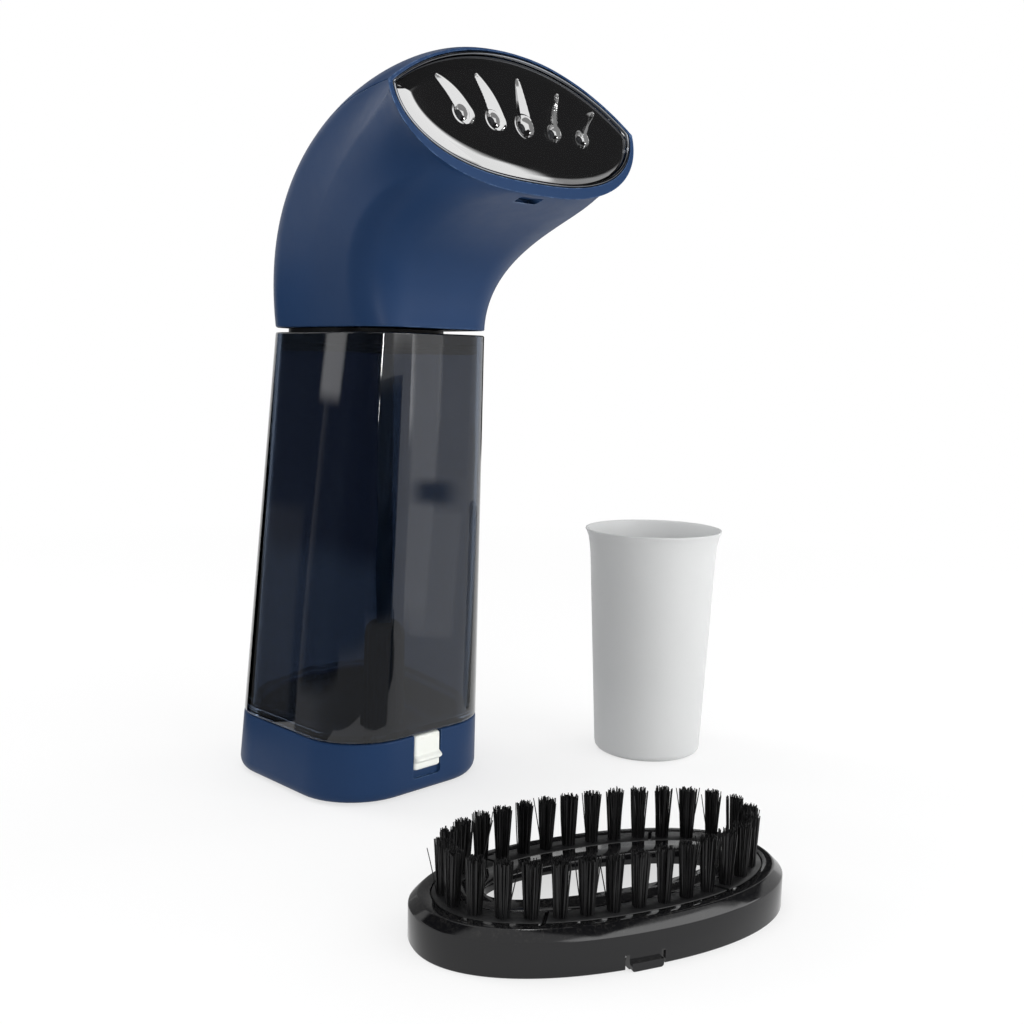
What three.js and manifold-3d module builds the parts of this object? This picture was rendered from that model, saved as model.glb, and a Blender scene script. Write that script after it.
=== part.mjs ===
// Handheld garment steamer with its brush attachment and its measuring cup.
// Millimetres, +Z up. The origin is the middle of the underside of the base, on the
// surface that the steamer stands on. The steaming face looks along -Y, so "forward"
// below is a distance along -Y.

import * as THREE from 'three';
import { mergeVertices } from 'three/addons/utils/BufferGeometryUtils.js';
import Module from 'manifold-3d';

const wasm = await Module();
wasm.setup();

// Driving dimensions of the column, which is the base and the tank above it
const baseHalfWidth = 37.1;
const baseHalfDepth = 40.2;
const baseCorner = 24.2;
const seamHeight = 22.4;
const tankTopHeight = 162;
const tankTopHalfWidth = 27;
const tankTopHalfDepth = 34.6;
const tankTopForward = 12;
const tankTopCorner = 14.1;

// Driving dimensions of the head
const headGap = 1.7;
const faceReach = 70.4;
const faceRise = 67.2;
const faceTilt = THREE.MathUtils.degToRad(15.56);
const faceHalfLength = 51;
const faceTop = 18.3;
const faceBottom = 22.3;
const rimTop = 0.9;
const rimBottom = 4;
const rimSide = 2;
const backRise = 73;
const backEnd = 1.5;
const throatRise = 28;
const throatLean = 7.3;
const throatEnd = 9;
const chinDrop = THREE.MathUtils.degToRad(6);

const faceForward = tankTopForward + faceReach;
const faceHeight = tankTopHeight + faceRise;
const headBottom = tankTopHeight + headGap;

// Walls and fits that many pieces share
const shellWall = 2.2;
const baseWall = 2.4;
const tankWall = 2.2;
const fit = 0.3;
const overrun = 5;

const tankTopFront = tankTopForward + tankTopHalfDepth;
const tankTopBack = tankTopForward - tankTopHalfDepth;

// Where the pump, its suction tube and the tank's filter stand, forward of the back of
// the tank's top
const pumpFromBack = 38.6;
const pumpForward = tankTopBack + pumpFromBack;

// Facet counts
const cornerSteps = 5;
const headSteps = 11;
const frontArcSteps = 24;
const rearArcSteps = 14;
const faceSteps = 42;
const brushSteps = 36;
const roundSteps = 24;
const pinSteps = 12;
const fineSteps = 8;
const bisections = 24;

// Small helpers

const mix = THREE.MathUtils.lerp;
const point = (x, forward, z) => new THREE.Vector3(x, -forward, z);

function finish(color, roughness, metalness) {
  return new THREE.MeshStandardMaterial({ color, roughness, metalness });
}

function signedVolume(points, faces) {
  let sum = 0;
  const cross = new THREE.Vector3();
  for (let i = 0; i < faces.length; i += 3) {
    const [a, b, c] = [points[faces[i]], points[faces[i + 1]], points[faces[i + 2]]];
    sum += a.dot(cross.crossVectors(b, c));
  }
  return sum;
}

function surface(points, faces) {
  const turned = signedVolume(points, faces) < 0 ? faces.toReversed() : faces;
  const geometry = new THREE.BufferGeometry();
  geometry.setFromPoints(points);
  geometry.setIndex(turned);
  return geometry;
}

// Triangles that close a flat or nearly flat ring, facing along the ring's own turn
function capFaces(ring, first, along) {
  const normal = new THREE.Vector3();
  const cross = new THREE.Vector3();
  ring.forEach((at, i) => {
    normal.add(cross.crossVectors(at, ring[(i + 1) % ring.length]));
  });
  normal.normalize();
  const side = new THREE.Vector3().subVectors(ring[1], ring[0]);
  side.addScaledVector(normal, -side.dot(normal)).normalize();
  const up = new THREE.Vector3().crossVectors(normal, side);
  const flat = ring.map((at) => new THREE.Vector2(at.dot(side), at.dot(up)));
  return THREE.ShapeUtils.triangulateShape(flat, []).flatMap(([a, b, c]) => {
    const one = flat[b].clone().sub(flat[a]);
    const two = flat[c].clone().sub(flat[a]);
    const left = one.cross(two) > 0;
    const order = left === along ? [a, b, c] : [a, c, b];
    return order.map((i) => i + first);
  });
}

// A closed body through rings with the same number of points. An open stack is capped
// at both ends, and a looped one joins its last ring to its first.
function loft(rings, looped = false) {
  const count = rings[0].length;
  const faces = [];
  const last = looped ? rings.length : rings.length - 1;
  for (let i = 0; i < last; i += 1) {
    const here = i * count;
    const there = ((i + 1) % rings.length) * count;
    for (let j = 0; j < count; j += 1) {
      const next = (j + 1) % count;
      faces.push(here + j, here + next, there + next);
      faces.push(here + j, there + next, there + j);
    }
  }
  if (!looped) {
    faces.push(...capFaces(rings[0], 0, false));
    faces.push(...capFaces(rings.at(-1), last * count, true));
  }
  return surface(rings.flat(), faces);
}

function solidOf(geometry) {
  const bare = geometry.clone();
  bare.deleteAttribute('normal');
  bare.deleteAttribute('uv');
  const welded = mergeVertices(bare);
  return new wasm.Manifold(new wasm.Mesh({
    numProp: 3,
    vertProperties: new Float32Array(welded.attributes.position.array),
    triVerts: new Uint32Array(welded.index.array),
  }));
}

function geometryOf(solid) {
  const { vertProperties, triVerts } = solid.getMesh();
  const geometry = new THREE.BufferGeometry();
  geometry.setAttribute('position', new THREE.BufferAttribute(vertProperties, 3));
  geometry.setIndex(new THREE.BufferAttribute(triVerts, 1));
  return geometry;
}

function cut(geometry, ...tools) {
  return geometryOf(tools.reduce((body, tool) => body.subtract(solidOf(tool)), solidOf(geometry)));
}

function join(geometry, ...others) {
  return geometryOf(others.reduce((body, other) => body.add(solidOf(other)), solidOf(geometry)));
}

// A body turned about Z from a profile of [radius, height] pairs that starts and ends
// on the axis or closes on itself
function turned(profile, steps) {
  const outline = profile.map(([radius, height]) => new THREE.Vector2(radius, height));
  const lathe = new THREE.LatheGeometry(outline, steps);
  lathe.rotateX(Math.PI / 2);
  const bare = lathe.clone();
  bare.deleteAttribute('normal');
  bare.deleteAttribute('uv');
  const welded = mergeVertices(bare);
  const places = welded.attributes.position;
  const points = [];
  for (let i = 0; i < places.count; i += 1) {
    points.push(new THREE.Vector3().fromBufferAttribute(places, i));
  }
  const whole = [];
  const index = [...welded.index.array];
  for (let i = 0; i < index.length; i += 3) {
    const [a, b, c] = [index[i], index[i + 1], index[i + 2]];
    if (a !== b && b !== c && c !== a) whole.push(a, b, c);
  }
  return surface(points, whole);
}

const rod = (radius, low, high, steps = pinSteps) =>
  turned([[0, low], [radius, low], [radius, high], [0, high]], steps);

const pipe = (inner, outer, low, high, steps = pinSteps) =>
  turned([[inner, low], [outer, low], [outer, high], [inner, high], [inner, low]], steps);

const block = (x0, x1, y0, y1, z0, z1) =>
  new THREE.BoxGeometry(x1 - x0, y1 - y0, z1 - z0)
    .translate((x0 + x1) / 2, (y0 + y1) / 2, (z0 + z1) / 2);

const quarters = [[1, 1], [-1, 1], [-1, -1], [1, -1]];

// A rounded rectangle lying flat at height z, with its middle the given way forward
function roundedRing(halfWidth, halfDepth, corner, forward, z, steps = cornerSteps) {
  const ring = [];
  for (const [quarter, [alongX, alongY]] of quarters.entries()) {
    for (let i = 0; i <= steps; i += 1) {
      const angle = (Math.PI / 2) * (quarter + i / steps);
      ring.push(new THREE.Vector3(
        alongX * (halfWidth - corner) + corner * Math.cos(angle),
        alongY * (halfDepth - corner) + corner * Math.sin(angle) - forward,
        z,
      ));
    }
  }
  return ring;
}

// The column's outline at height z, drawn in by an inset
function columnRing(z, inset) {
  const share = z / tankTopHeight;
  return roundedRing(
    mix(baseHalfWidth, tankTopHalfWidth, share) - inset,
    mix(baseHalfDepth, tankTopHalfDepth, share) - inset,
    Math.max(mix(baseCorner, tankTopCorner, share) - inset, fit),
    mix(0, tankTopForward, share),
    z,
  );
}

const columnFront = (z) => mix(
  baseHalfDepth,
  tankTopForward + tankTopHalfDepth,
  z / tankTopHeight,
);

const parts = new THREE.Group();

function add(name, geometry, material, group = parts) {
  const mesh = new THREE.Mesh(geometry, material);
  mesh.name = name;
  group.add(mesh);
  return mesh;
}

function subgroup(position, turnX = 0, turnZ = 0) {
  const group = new THREE.Group();
  group.position.copy(position);
  group.rotation.set(turnX, 0, turnZ);
  parts.add(group);
  group.updateMatrixWorld(true);
  return group;
}

const placed = (geometry, group) => geometry.clone().applyMatrix4(group.matrixWorld);

const blueShell = finish(0x233a5c, 0.32, 0);
const smokedPlastic = finish(0x1b2430, 0.1, 0);
const blackPlastic = finish(0x17181a, 0.4, 0);
const blackGloss = finish(0x0b0b0c, 0.12, 0);
const whiteRubber = finish(0xeef0ea, 0.55, 0);
const softRubber = finish(0x26272a, 0.8, 0);
const clearSilicone = finish(0xd6dad8, 0.45, 0);
const castAlloy = finish(0xa9acb0, 0.5, 1);
const brightSteel = finish(0xc8cacd, 0.25, 1);
const copperCoil = finish(0x8c4a2a, 0.4, 1);
const boardGreen = finish(0x1f5a3a, 0.5, 0);
const frostedPlastic = finish(0xdfe3e3, 0.5, 0);
const bristleNylon = finish(0x0c0c0d, 0.6, 0);
const redLens = finish(0xb3261e, 0.2, 0);

// Base: a non-slip pad, a screwed bottom plate and the blue shell that carries the tank

const padThickness = 1;
const padInset = 5.6;
const plateThickness = 2.1;
const shellFoot = 0.5;
const footRise = 4.1;
const footRounding = 2.9;
const footRoundingShares = [0, 0.3, 0.6, 1];
const footInnerInset = 4.4;
const deckInset = 3.4;
const plateGap = 0.2;
const deckThickness = 2;
const deckTop = 7.5;
const boreCover = 0.7;
const bossRadius = 3.4;
const bossSideShare = 0.62;
const bossDepthShare = 0.62;
const screwShank = 1.2;
const screwBore = 1.5;
const screwHead = 2.6;
const screwHeadHeight = 1.1;

const plateInset = footInnerInset + plateGap;
const plateLow = padThickness + fit;
const plateHigh = plateLow + plateThickness;
const deckLow = deckTop - deckThickness;
const bossLow = plateHigh + fit;
const boreTop = deckTop - boreCover;
const screwTip = boreTop - fit;

const bossPlaces = quarters.map(([x, y]) => new THREE.Vector3(
  x * bossSideShare * baseHalfWidth,
  y * bossDepthShare * baseHalfDepth,
  0,
));

const atBosses = (geometry) => bossPlaces.map((at) => geometry.clone().translate(at.x, at.y, 0));

// Filler port in the front of the base: the white pull plug closes a short neck that
// opens into the narrowed foot of the tank
const footInset = 4.5;
const plugHalfWidth = 6;
const plugLow = 9.2;
const plugProud = 0.2;
const plugRidge = 1.7;
const ridgeLowShare = 0.22;
const ridgeTopShare = 0.4;
const stemGap = 0.4;
const stemGroove = 0.9;
const stemStep = 1;
const stemReach = 4.3;
const neckWall = 1.1;
const neckLedge = 0.8;
const neckFlangeGap = 0.1;
const neckFlangeThickness = 0.9;
const neckReach = 4.1;
const scoopHeight = 3;
const scoopDepth = 1.1;

const shellTop = seamHeight - fit;
const plugHigh = shellTop - fit;
const portHeight = (plugLow + plugHigh) / 2;
const neckFlange = (plugHigh - plugLow) / 2 - neckFlangeGap;
const neckRadius = neckFlange - neckLedge;
const neckBore = neckRadius - neckWall;
const stemRadius = neckBore - stemGap;
const stemWaist = stemRadius - stemGroove;
const flangeBack = columnFront(portHeight + neckFlange) - footInset + fit;
const neckFront = flangeBack + neckFlangeThickness;
const plugBack = neckFront + fit;
const windowHalf = plugHalfWidth + fit;
const alongForward = (geometry, height) =>
  geometry.clone().rotateX(Math.PI / 2).translate(0, 0, height);

function baseShell() {
  const rounding = footRoundingShares.map((share) => columnRing(
    shellFoot + share * footRise,
    footRounding * (1 - Math.sqrt(1 - (1 - share) ** 2)),
  ));
  const body = loft([
    columnRing(deckLow, deckInset),
    columnRing(shellFoot, footInnerInset),
    ...rounding,
    columnRing(shellTop, 0),
    columnRing(shellTop, baseWall),
    columnRing(deckTop, baseWall),
  ]);
  const bosses = atBosses(rod(bossRadius, bossLow, deckLow + deckThickness / 2));
  const bores = atBosses(rod(screwBore, bossLow - overrun, boreTop, fineSteps));
  const front = baseHalfDepth + overrun;
  const window = block(
    -windowHalf,
    windowHalf,
    -front,
    -plugBack + baseWall,
    plugLow - fit,
    shellTop + overrun,
  );
  const scoopFront = columnFront(plugLow);
  const scoop = block(
    -windowHalf,
    windowHalf,
    -front,
    scoopDepth - scoopFront,
    plugLow - scoopHeight,
    plugLow + fit,
  );
  return cut(join(body, ...bosses), ...bores, window, scoop);
}

function basePlate() {
  const body = loft([
    columnRing(plateLow, plateInset),
    columnRing(plateHigh, plateInset),
  ]);
  const headRoof = plateLow + screwHeadHeight + fit;
  const heads = atBosses(rod(screwHead + fit, plateLow - overrun, headRoof, fineSteps));
  const holes = atBosses(rod(screwBore, plateLow - overrun, plateHigh + overrun, fineSteps));
  return cut(body, ...heads, ...holes);
}

function screwBody(tip, seat, headHeight, head = screwHead, shank = screwShank) {
  return turned([[0, seat - headHeight], [head, seat - headHeight], [head, seat],
    [shank, seat], [shank, tip], [0, tip]], fineSteps);
}

// Like pieces in one family, numbered from 1
function addEach(name, geometries, material, group = parts) {
  geometries.forEach((geometry, i) => add(`${name}_${i + 1}`, geometry, material, group));
}

add('base_pad', loft([columnRing(0, padInset), columnRing(padThickness, padInset)]), softRubber);
add('base_plate', basePlate(), blackPlastic);
add('base_shell', baseShell(), blueShell);
addEach('base_screw', atBosses(
  screwBody(screwTip, plateLow + screwHeadHeight, screwHeadHeight),
), brightSteel);

// Tank: a smoked clear vessel whose narrowed foot stands inside the base

const tankFootLow = deckTop + fit;
const tankFloor = 2;
const footWallThickness = 2;
const shoulder = 2.2;

function waterTank() {
  const body = loft([
    columnRing(tankFootLow, footInset),
    columnRing(seamHeight, footInset),
    columnRing(seamHeight, 0),
    columnRing(tankTopHeight, 0),
    columnRing(tankTopHeight, tankWall),
    columnRing(seamHeight + shoulder, tankWall),
    columnRing(seamHeight + shoulder, footInset + footWallThickness),
    columnRing(tankFootLow + tankFloor, footInset + footWallThickness),
  ]);
  const tool = alongForward(
    rod(neckRadius + fit, plugBack - footInset * 2, plugBack + overrun),
    portHeight,
  );
  return cut(body, tool);
}

add('water_tank', waterTank(), smokedPlastic);

add('filler_neck', alongForward(turned([
  [neckBore, neckFront - neckReach],
  [neckRadius, neckFront - neckReach],
  [neckRadius, flangeBack],
  [neckFlange, flangeBack],
  [neckFlange, neckFront],
  [neckBore, neckFront],
  [neckBore, neckFront - neckReach],
], pinSteps), portHeight), blackPlastic);

function fillerPlug() {
  const face = columnFront(portHeight) + plugProud;
  const height = plugHigh - plugLow;
  const ridgeLow = plugLow + ridgeLowShare * height;
  const ridgeTop = plugLow + ridgeTopShare * height;
  const side = new THREE.Shape();
  side.moveTo(plugBack, plugLow);
  side.lineTo(face, plugLow);
  side.lineTo(face, ridgeLow);
  side.quadraticCurveTo(face + 2 * plugRidge, (ridgeLow + ridgeTop) / 2, face, ridgeTop);
  side.lineTo(face, plugHigh);
  side.lineTo(plugBack, plugHigh);
  side.closePath();
  const slab = new THREE.ExtrudeGeometry(side, {
    depth: 2 * plugHalfWidth,
    bevelEnabled: false,
    curveSegments: cornerSteps,
  });
  slab.translate(0, 0, -plugHalfWidth);
  slab.rotateX(Math.PI / 2);
  slab.rotateZ(-Math.PI / 2);
  const tip = plugBack - stemReach;
  const stem = alongForward(turned([
    [0, tip],
    [stemRadius, tip],
    [stemRadius, tip + stemStep],
    [stemWaist, tip + stemStep],
    [stemWaist, plugBack - stemStep],
    [stemRadius, plugBack - stemStep],
    [stemRadius, plugBack + stemStep],
    [0, plugBack + stemStep],
  ], pinSteps), portHeight);
  return join(slab, stem);
}

add('filler_plug', fillerPlug(), whiteRubber);
add('plug_seal', alongForward(pipe(
  stemWaist + fit,
  stemRadius,
  plugBack - stemReach + stemStep + fit,
  plugBack - stemStep - fit,
), portHeight), softRubber);

// Tank lid, its seal and the collar that shows in the gap under the head

const lidFlange = 3.7;
const lidSkirt = 3.4;
const lidSkirtInset = 4.8;
const sealHeight = 2.7;
const collarSideInset = 4.5;
const collarBackInset = 2.9;
const collarFrontInset = 17.9;
const collarCornerInset = 2.1;
const tubeRadius = 3;
const tubeBore = 1.9;
const neckScrewSideInset = 9.5;
const neckScrewBackInset = 18.6;
const neckScrewFrontInset = 24.6;
const neckScrewDepth = 7;
const floorThickness = 2.4;

const lidTop = tankTopHeight - fit;
const lidLedge = lidTop - lidFlange;
const collarTop = headBottom;
const floorLow = collarTop + fit;
const floorHigh = floorLow + floorThickness;
const neckScrewSide = tankTopHalfWidth - neckScrewSideInset;
const neckScrewForwards = [
  tankTopBack + neckScrewBackInset,
  tankTopFront - neckScrewFrontInset,
];

const atNeckScrews = (geometry) => neckScrewForwards.flatMap((forward) => [1, -1].map((side) =>
  geometry.clone().translate(side * neckScrewSide, -forward, 0)));

const atPump = (geometry) => geometry.clone().translate(0, -pumpForward, 0);

function tankLid() {
  const collarFront = tankTopFront - collarFrontInset;
  const collarBack = tankTopBack + collarBackInset;
  const collarRing = (z) => roundedRing(
    tankTopHalfWidth - collarSideInset,
    (collarFront - collarBack) / 2,
    tankTopCorner - collarCornerInset,
    (collarFront + collarBack) / 2,
    z,
  );
  const body = loft([
    columnRing(lidLedge - lidSkirt, lidSkirtInset),
    columnRing(lidLedge, lidSkirtInset),
    columnRing(lidLedge, tankWall + fit),
    columnRing(lidTop, tankWall + fit),
    collarRing(lidTop),
    collarRing(collarTop),
  ]);
  const passage = atPump(rod(tubeRadius + fit, lidLedge - overrun, collarTop + overrun));
  const bores = atNeckScrews(
    rod(screwBore, collarTop - neckScrewDepth, collarTop + overrun, fineSteps),
  );
  return cut(body, passage, ...bores);
}

add('tank_lid', tankLid(), blackPlastic);
add('tank_seal', loft([
  columnRing(lidLedge - fit - sealHeight, tankWall + fit),
  columnRing(lidLedge - fit, tankWall + fit),
  columnRing(lidLedge - fit, lidSkirtInset - fit),
  columnRing(lidLedge - fit - sealHeight, lidSkirtInset - fit),
], true), softRubber);

// Suction tube down to a fluted filter that stands on the tank's floor

const filterRadius = 7.5;
const filterGroove = 0.9;
const fluteCount = 12;
const filterHeight = 46;
const filterDome = 6;
const filterNeckRadius = 6;
const filterNeckDrop = 2;
const filterTopRadius = 4.1;
const filterBottom = tankFootLow + tankFloor + fit;
const filterTop = filterBottom + filterHeight;
const tubeSink = 4;
const nippleRadius = tubeBore - fit;
const bridgeRise = 7;
const bridgeLow = floorHigh + bridgeRise;
const tubeTop = bridgeLow - fit;

function fluteRing(radius, groove, z) {
  const ring = [];
  const count = fluteCount * 2;
  for (let i = 0; i < count; i += 1) {
    const reach = i % 2 === 0 ? radius : radius - groove;
    const angle = (2 * Math.PI * i) / count;
    ring.push(point(reach * Math.cos(angle), pumpForward + reach * Math.sin(angle), z));
  }
  return ring;
}

function suctionFilter() {
  const body = loft([
    fluteRing(filterRadius, filterGroove, filterBottom),
    fluteRing(filterRadius, filterGroove, filterTop - filterDome),
    fluteRing(filterNeckRadius, filterGroove / 2, filterTop - filterNeckDrop),
    fluteRing(filterTopRadius, 0, filterTop),
  ]);
  return cut(body, atPump(rod(tubeRadius + fit, filterTop - tubeSink, filterTop + overrun)));
}

add('suction_filter', suctionFilter(), blackPlastic);
add('suction_tube', atPump(pipe(
  tubeBore,
  tubeRadius,
  filterTop - tubeSink + fit,
  tubeTop,
)), clearSilicone);

// Head: the outline grows from the tank's rounded rectangle to the steaming face.
// Its back line and throat line are cubic curves in the plane of symmetry, held as
// (forward, height), and each section lies across from one to the other.

const faceAxis = new THREE.Vector2(Math.cos(faceTilt), Math.sin(faceTilt));
const faceUp = new THREE.Vector2(-Math.sin(faceTilt), Math.cos(faceTilt));
const faceMiddle = new THREE.Vector2(faceForward, faceHeight);
const alongFace = (up, out) =>
  faceMiddle.clone().addScaledVector(faceUp, up).addScaledVector(faceAxis, out);

const backFoot = new THREE.Vector2(tankTopBack, headBottom);
const throatFoot = new THREE.Vector2(tankTopFront, headBottom);
const backHead = alongFace(faceTop + rimTop, 0);
const chin = alongFace(-faceBottom - rimBottom, 0);
const chinWay = new THREE.Vector2(Math.cos(faceTilt + chinDrop), Math.sin(faceTilt + chinDrop));

const backLine = new THREE.CubicBezierCurve(
  backFoot,
  backFoot.clone().add(new THREE.Vector2(0, backRise)),
  backHead.clone().addScaledVector(faceAxis, -backEnd),
  backHead,
);
const throatLine = new THREE.CubicBezierCurve(
  throatFoot,
  throatFoot.clone().add(new THREE.Vector2(-throatLean, throatRise)),
  chin.clone().addScaledVector(chinWay, -throatEnd),
  chin,
);

// The face's outline: a shallow arc above, and a fuller curve below that turns up
// into the two corners
const faceSagShare = 0.945;
const lowerPowerShare = 2.6;
const faceSag = faceSagShare * faceTop;
const faceArc = (faceHalfLength ** 2 + faceSag ** 2) / (2 * faceSag);

function upperEdge(across) {
  return faceTop - faceArc + Math.sqrt(faceArc ** 2 - across ** 2);
}

function lowerEdge(across) {
  return -faceBottom * Math.sqrt(1 - Math.abs(across / faceHalfLength) ** lowerPowerShare);
}

// How far an outline reaches from its middle along an angle
function reachAlong(angle, furthest, isInside) {
  let low = 0;
  let high = furthest;
  for (let i = 0; i < bisections; i += 1) {
    const middle = (low + high) / 2;
    if (isInside(middle * Math.cos(angle), middle * Math.sin(angle))) low = middle;
    else high = middle;
  }
  return low;
}

const insideFace = (x, y) =>
  Math.abs(x) < faceHalfLength && y < upperEdge(x) && y > lowerEdge(x);

function insideTankTop(x, y) {
  const beyondX = Math.max(Math.abs(x) - tankTopHalfWidth + tankTopCorner, 0);
  const beyondY = Math.max(Math.abs(y) - tankTopHalfDepth + tankTopCorner, 0);
  return Math.hypot(beyondX, beyondY) < tankTopCorner;
}

// Unit outlines, one across and one up and down at their widest
function unitFace(angle) {
  const reach = reachAlong(angle, 2 * faceHalfLength, insideFace);
  const up = Math.sin(angle) > 0 ? faceTop : faceBottom;
  return [reach * Math.cos(angle) / faceHalfLength, reach * Math.sin(angle) / up];
}

function unitTankTop(angle) {
  const reach = reachAlong(angle, 2 * tankTopHalfDepth, insideTankTop);
  return [
    reach * Math.cos(angle) / tankTopHalfWidth,
    reach * Math.sin(angle) / tankTopHalfDepth,
  ];
}

const shapePowerShare = 3.5;
const rimPowerShare = 6;
const widestShare = 0.5;

// A point of the head's skin, or of the inside of its wall. The angle runs round a
// section: zero is the +X side, a quarter turn is the back.
function headPoint(t, angle, inside) {
  const back = backLine.getPoint(t);
  const front = throatLine.getPoint(t);
  const across = back.clone().sub(front);
  const length = across.length();
  across.normalize();
  const shape = t ** shapePowerShare;
  const rim = t ** rimPowerShare;
  const endShare = (faceBottom + rimBottom) / (faceBottom + rimBottom + faceTop + rimTop);
  const share = mix(widestShare, endShare, shape);
  const wall = (rimWidth) => (inside ? mix(shellWall, rimWidth - fit, rim) : 0);
  const halfWidth = mix(tankTopHalfWidth, faceHalfLength + rimSide, t) - wall(rimSide);
  const [tankX, tankY] = unitTankTop(angle);
  const [faceX, faceY] = unitFace(angle);
  const x = mix(tankX, faceX, shape) * halfWidth;
  const y = mix(tankY, faceY, shape);
  const reach = y > 0
    ? length * (1 - share) - wall(rimTop)
    : length * share - wall(rimBottom);
  const place = front.addScaledVector(across, length * share + y * reach);
  return point(x, place.x, place.y);
}

// The seam between the two head shells runs up the back corners and turns forward
// into the two corners of the face
const seamStart = THREE.MathUtils.degToRad(50);
const seamPowerShare = 3.2;
const seamGap = 0.45;
const seamAngle = (t) => seamStart * (1 - t ** seamPowerShare);

function headShell(fromAngle, toAngle, arcSteps) {
  const rings = [];
  for (let i = 0; i < headSteps; i += 1) {
    const t = i / (headSteps - 1);
    const half = seamGap / 2 / mix(tankTopHalfWidth, faceHalfLength, t);
    const from = fromAngle(t) + half;
    const to = toAngle(t) - half;
    const outer = [];
    const inner = [];
    for (let j = 0; j <= arcSteps; j += 1) {
      const angle = mix(from, to, j / arcSteps);
      outer.push(headPoint(t, angle, false));
      inner.unshift(headPoint(t, angle, true));
    }
    rings.push([...outer, ...inner]);
  }
  return loft(rings);
}

// The steaming face's own group: +X across, +Y up the face, +Z out of it

const faceGroup = subgroup(point(0, faceForward, faceHeight), Math.PI / 2 - faceTilt);

// The face's outline moved in or out by a growth, at a height along the face's axis
function faceRing(grow, out) {
  const ring = [];
  for (let i = 0; i < faceSteps; i += 1) {
    const [x, y] = unitFace((2 * Math.PI * i) / faceSteps);
    const up = (y > 0 ? faceTop : faceBottom) + grow;
    ring.push(new THREE.Vector3(x * (faceHalfLength + grow), y * up, out));
  }
  return ring;
}

const trimWidth = 1;
const trimProud = 0.3;
const trimDepth = 0.9;
const trimDraft = 0.3;
const plateEdge = trimWidth + fit;
const plateRoll = 0.35;
const rollInset = 2.4;
const flatInset = 4.4;
const plateShoulder = -1;
const faceBack = -3;
const plateBackInset = 3.4;

// The step in both shells' front edge that the trim and the soleplate sit in
const faceSeat = () => loft([
  faceRing(fit, overrun),
  faceRing(fit, -trimDepth - fit),
  faceRing(fit - plateBackInset, faceBack - fit),
]);

// A group on the back line with +Z out of the skin, +X across and +Y down the back
function onBack(share) {
  const at = backLine.getPoint(share);
  const way = backLine.getTangent(share);
  return subgroup(point(0, at.x, at.y), Math.atan2(-way.y, way.x));
}

const buttonShare = 0.2;
const indicatorShare = 0.34;
const glandShare = 0.06;
const buttonGroup = onBack(buttonShare);
const indicatorGroup = onBack(indicatorShare);
const glandGroup = onBack(glandShare);

const buttonHalfWidth = 8;
const buttonHalfHeight = 11.5;
const buttonProud = 1.8;
const buttonSkirt = 1.3;
const buttonDome = 0.7;
const buttonDomeInset = 2.1;
const buttonDomeDrop = 0.25;
const flangeHigh = -shellWall - fit;
const flangeThickness = 1;
const flangeLow = flangeHigh - flangeThickness;
const buttonStemLow = -5.1;
const buttonStemRadius = 2;

const boardHalfWidth = 14;
const boardHalfHeight = 11.5;
const boardHigh = -10.2;
const boardThickness = 1.6;
const postRadius = 2.2;
const postSide = 11.2;
const postHeight = 9;
const postRoot = -1.6;
const postBore = 1.2;
const postScrew = 0.9;
const postScrewHead = 1.9;
const postScrewDepth = 4.5;

const indicatorRadius = 2.5;
const indicatorFlange = 3.6;
const indicatorProud = 0.5;
const indicatorCrown = 1.75;

const glandBore = 3.7;
const glandRadius = 6;
const glandFlange = 8;
const glandProud = 2.4;
const glandInner = 7.4;
const glandStep = 1.5;
const glandSteps = 16;
const glandLow = -5.6;

const wellClearance = 0.5;
const wellBoss = 4.7;
const wellGap = 1.9;
const wellShare = 0.064;
const wellFloor = 3;
const wellBossRoot = 1;
const wellBossDepth = 5.2;
const shellScrewTip = 13;
const postBlockHalf = 3;
const postBlockDepth = 7.5;

const wellFront = -backFoot.x;
const wellRadius = screwHead + wellClearance;
const wellSide = glandInner + wellBoss + wellGap;
const wellHeight = backLine.getPoint(wellShare).y;
const atWells = (geometry) => [1, -1].map((side) =>
  geometry.clone().rotateX(Math.PI / 2).translate(side * wellSide, 0, wellHeight));

const atPosts = (geometry) => [[1, 1], [-1, -1]].map(([x, y]) =>
  geometry.clone().translate(x * postSide, y * postHeight, 0));

const buttonRing = (grow, z) => roundedRing(
  buttonHalfWidth + grow,
  buttonHalfHeight + grow,
  buttonHalfWidth + grow - fit,
  0,
  z,
);

// Room behind the shell's curved wall for the flange of the button, which moves in
const buttonRelief = (grow) => loft([
  buttonRing(grow, flangeLow - overrun),
  buttonRing(grow, flangeHigh + fit),
]);

function rearShell() {
  const body = headShell(
    (t) => seamAngle(t),
    (t) => Math.PI - seamAngle(t),
    rearArcSteps,
  );
  const posts = atPosts(rod(postRadius, boardHigh + fit, postRoot, fineSteps));
  const bosses = atWells(rod(wellBoss, wellBossDepth - wellFront, wellBossRoot - wellFront));
  const thickened = join(body, ...posts.map((post) => placed(post, buttonGroup)), ...bosses);
  return cut(
    thickened,
    placed(loft([buttonRing(fit, -overrun), buttonRing(fit, overrun)]), buttonGroup),
    placed(rod(indicatorRadius + fit, -overrun, overrun), indicatorGroup),
    placed(rod(glandRadius + fit, -overrun, overrun), glandGroup),
    placed(buttonRelief(buttonSkirt + fit), buttonGroup),
    placed(rod(glandInner + fit, glandLow - overrun, flangeHigh, glandSteps), glandGroup),
    placed(faceSeat(), faceGroup),
    ...atWells(rod(wellRadius, -wellFront - overrun, wellFloor - wellFront)),
    ...atWells(rod(screwBore, -wellFront - overrun, wellBossDepth + overrun - wellFront, fineSteps)),
    ...atPosts(rod(postBore, boardHigh - fit, boardHigh + postScrewDepth, fineSteps))
      .map((bore) => placed(bore, buttonGroup)),
  );
}

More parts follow.
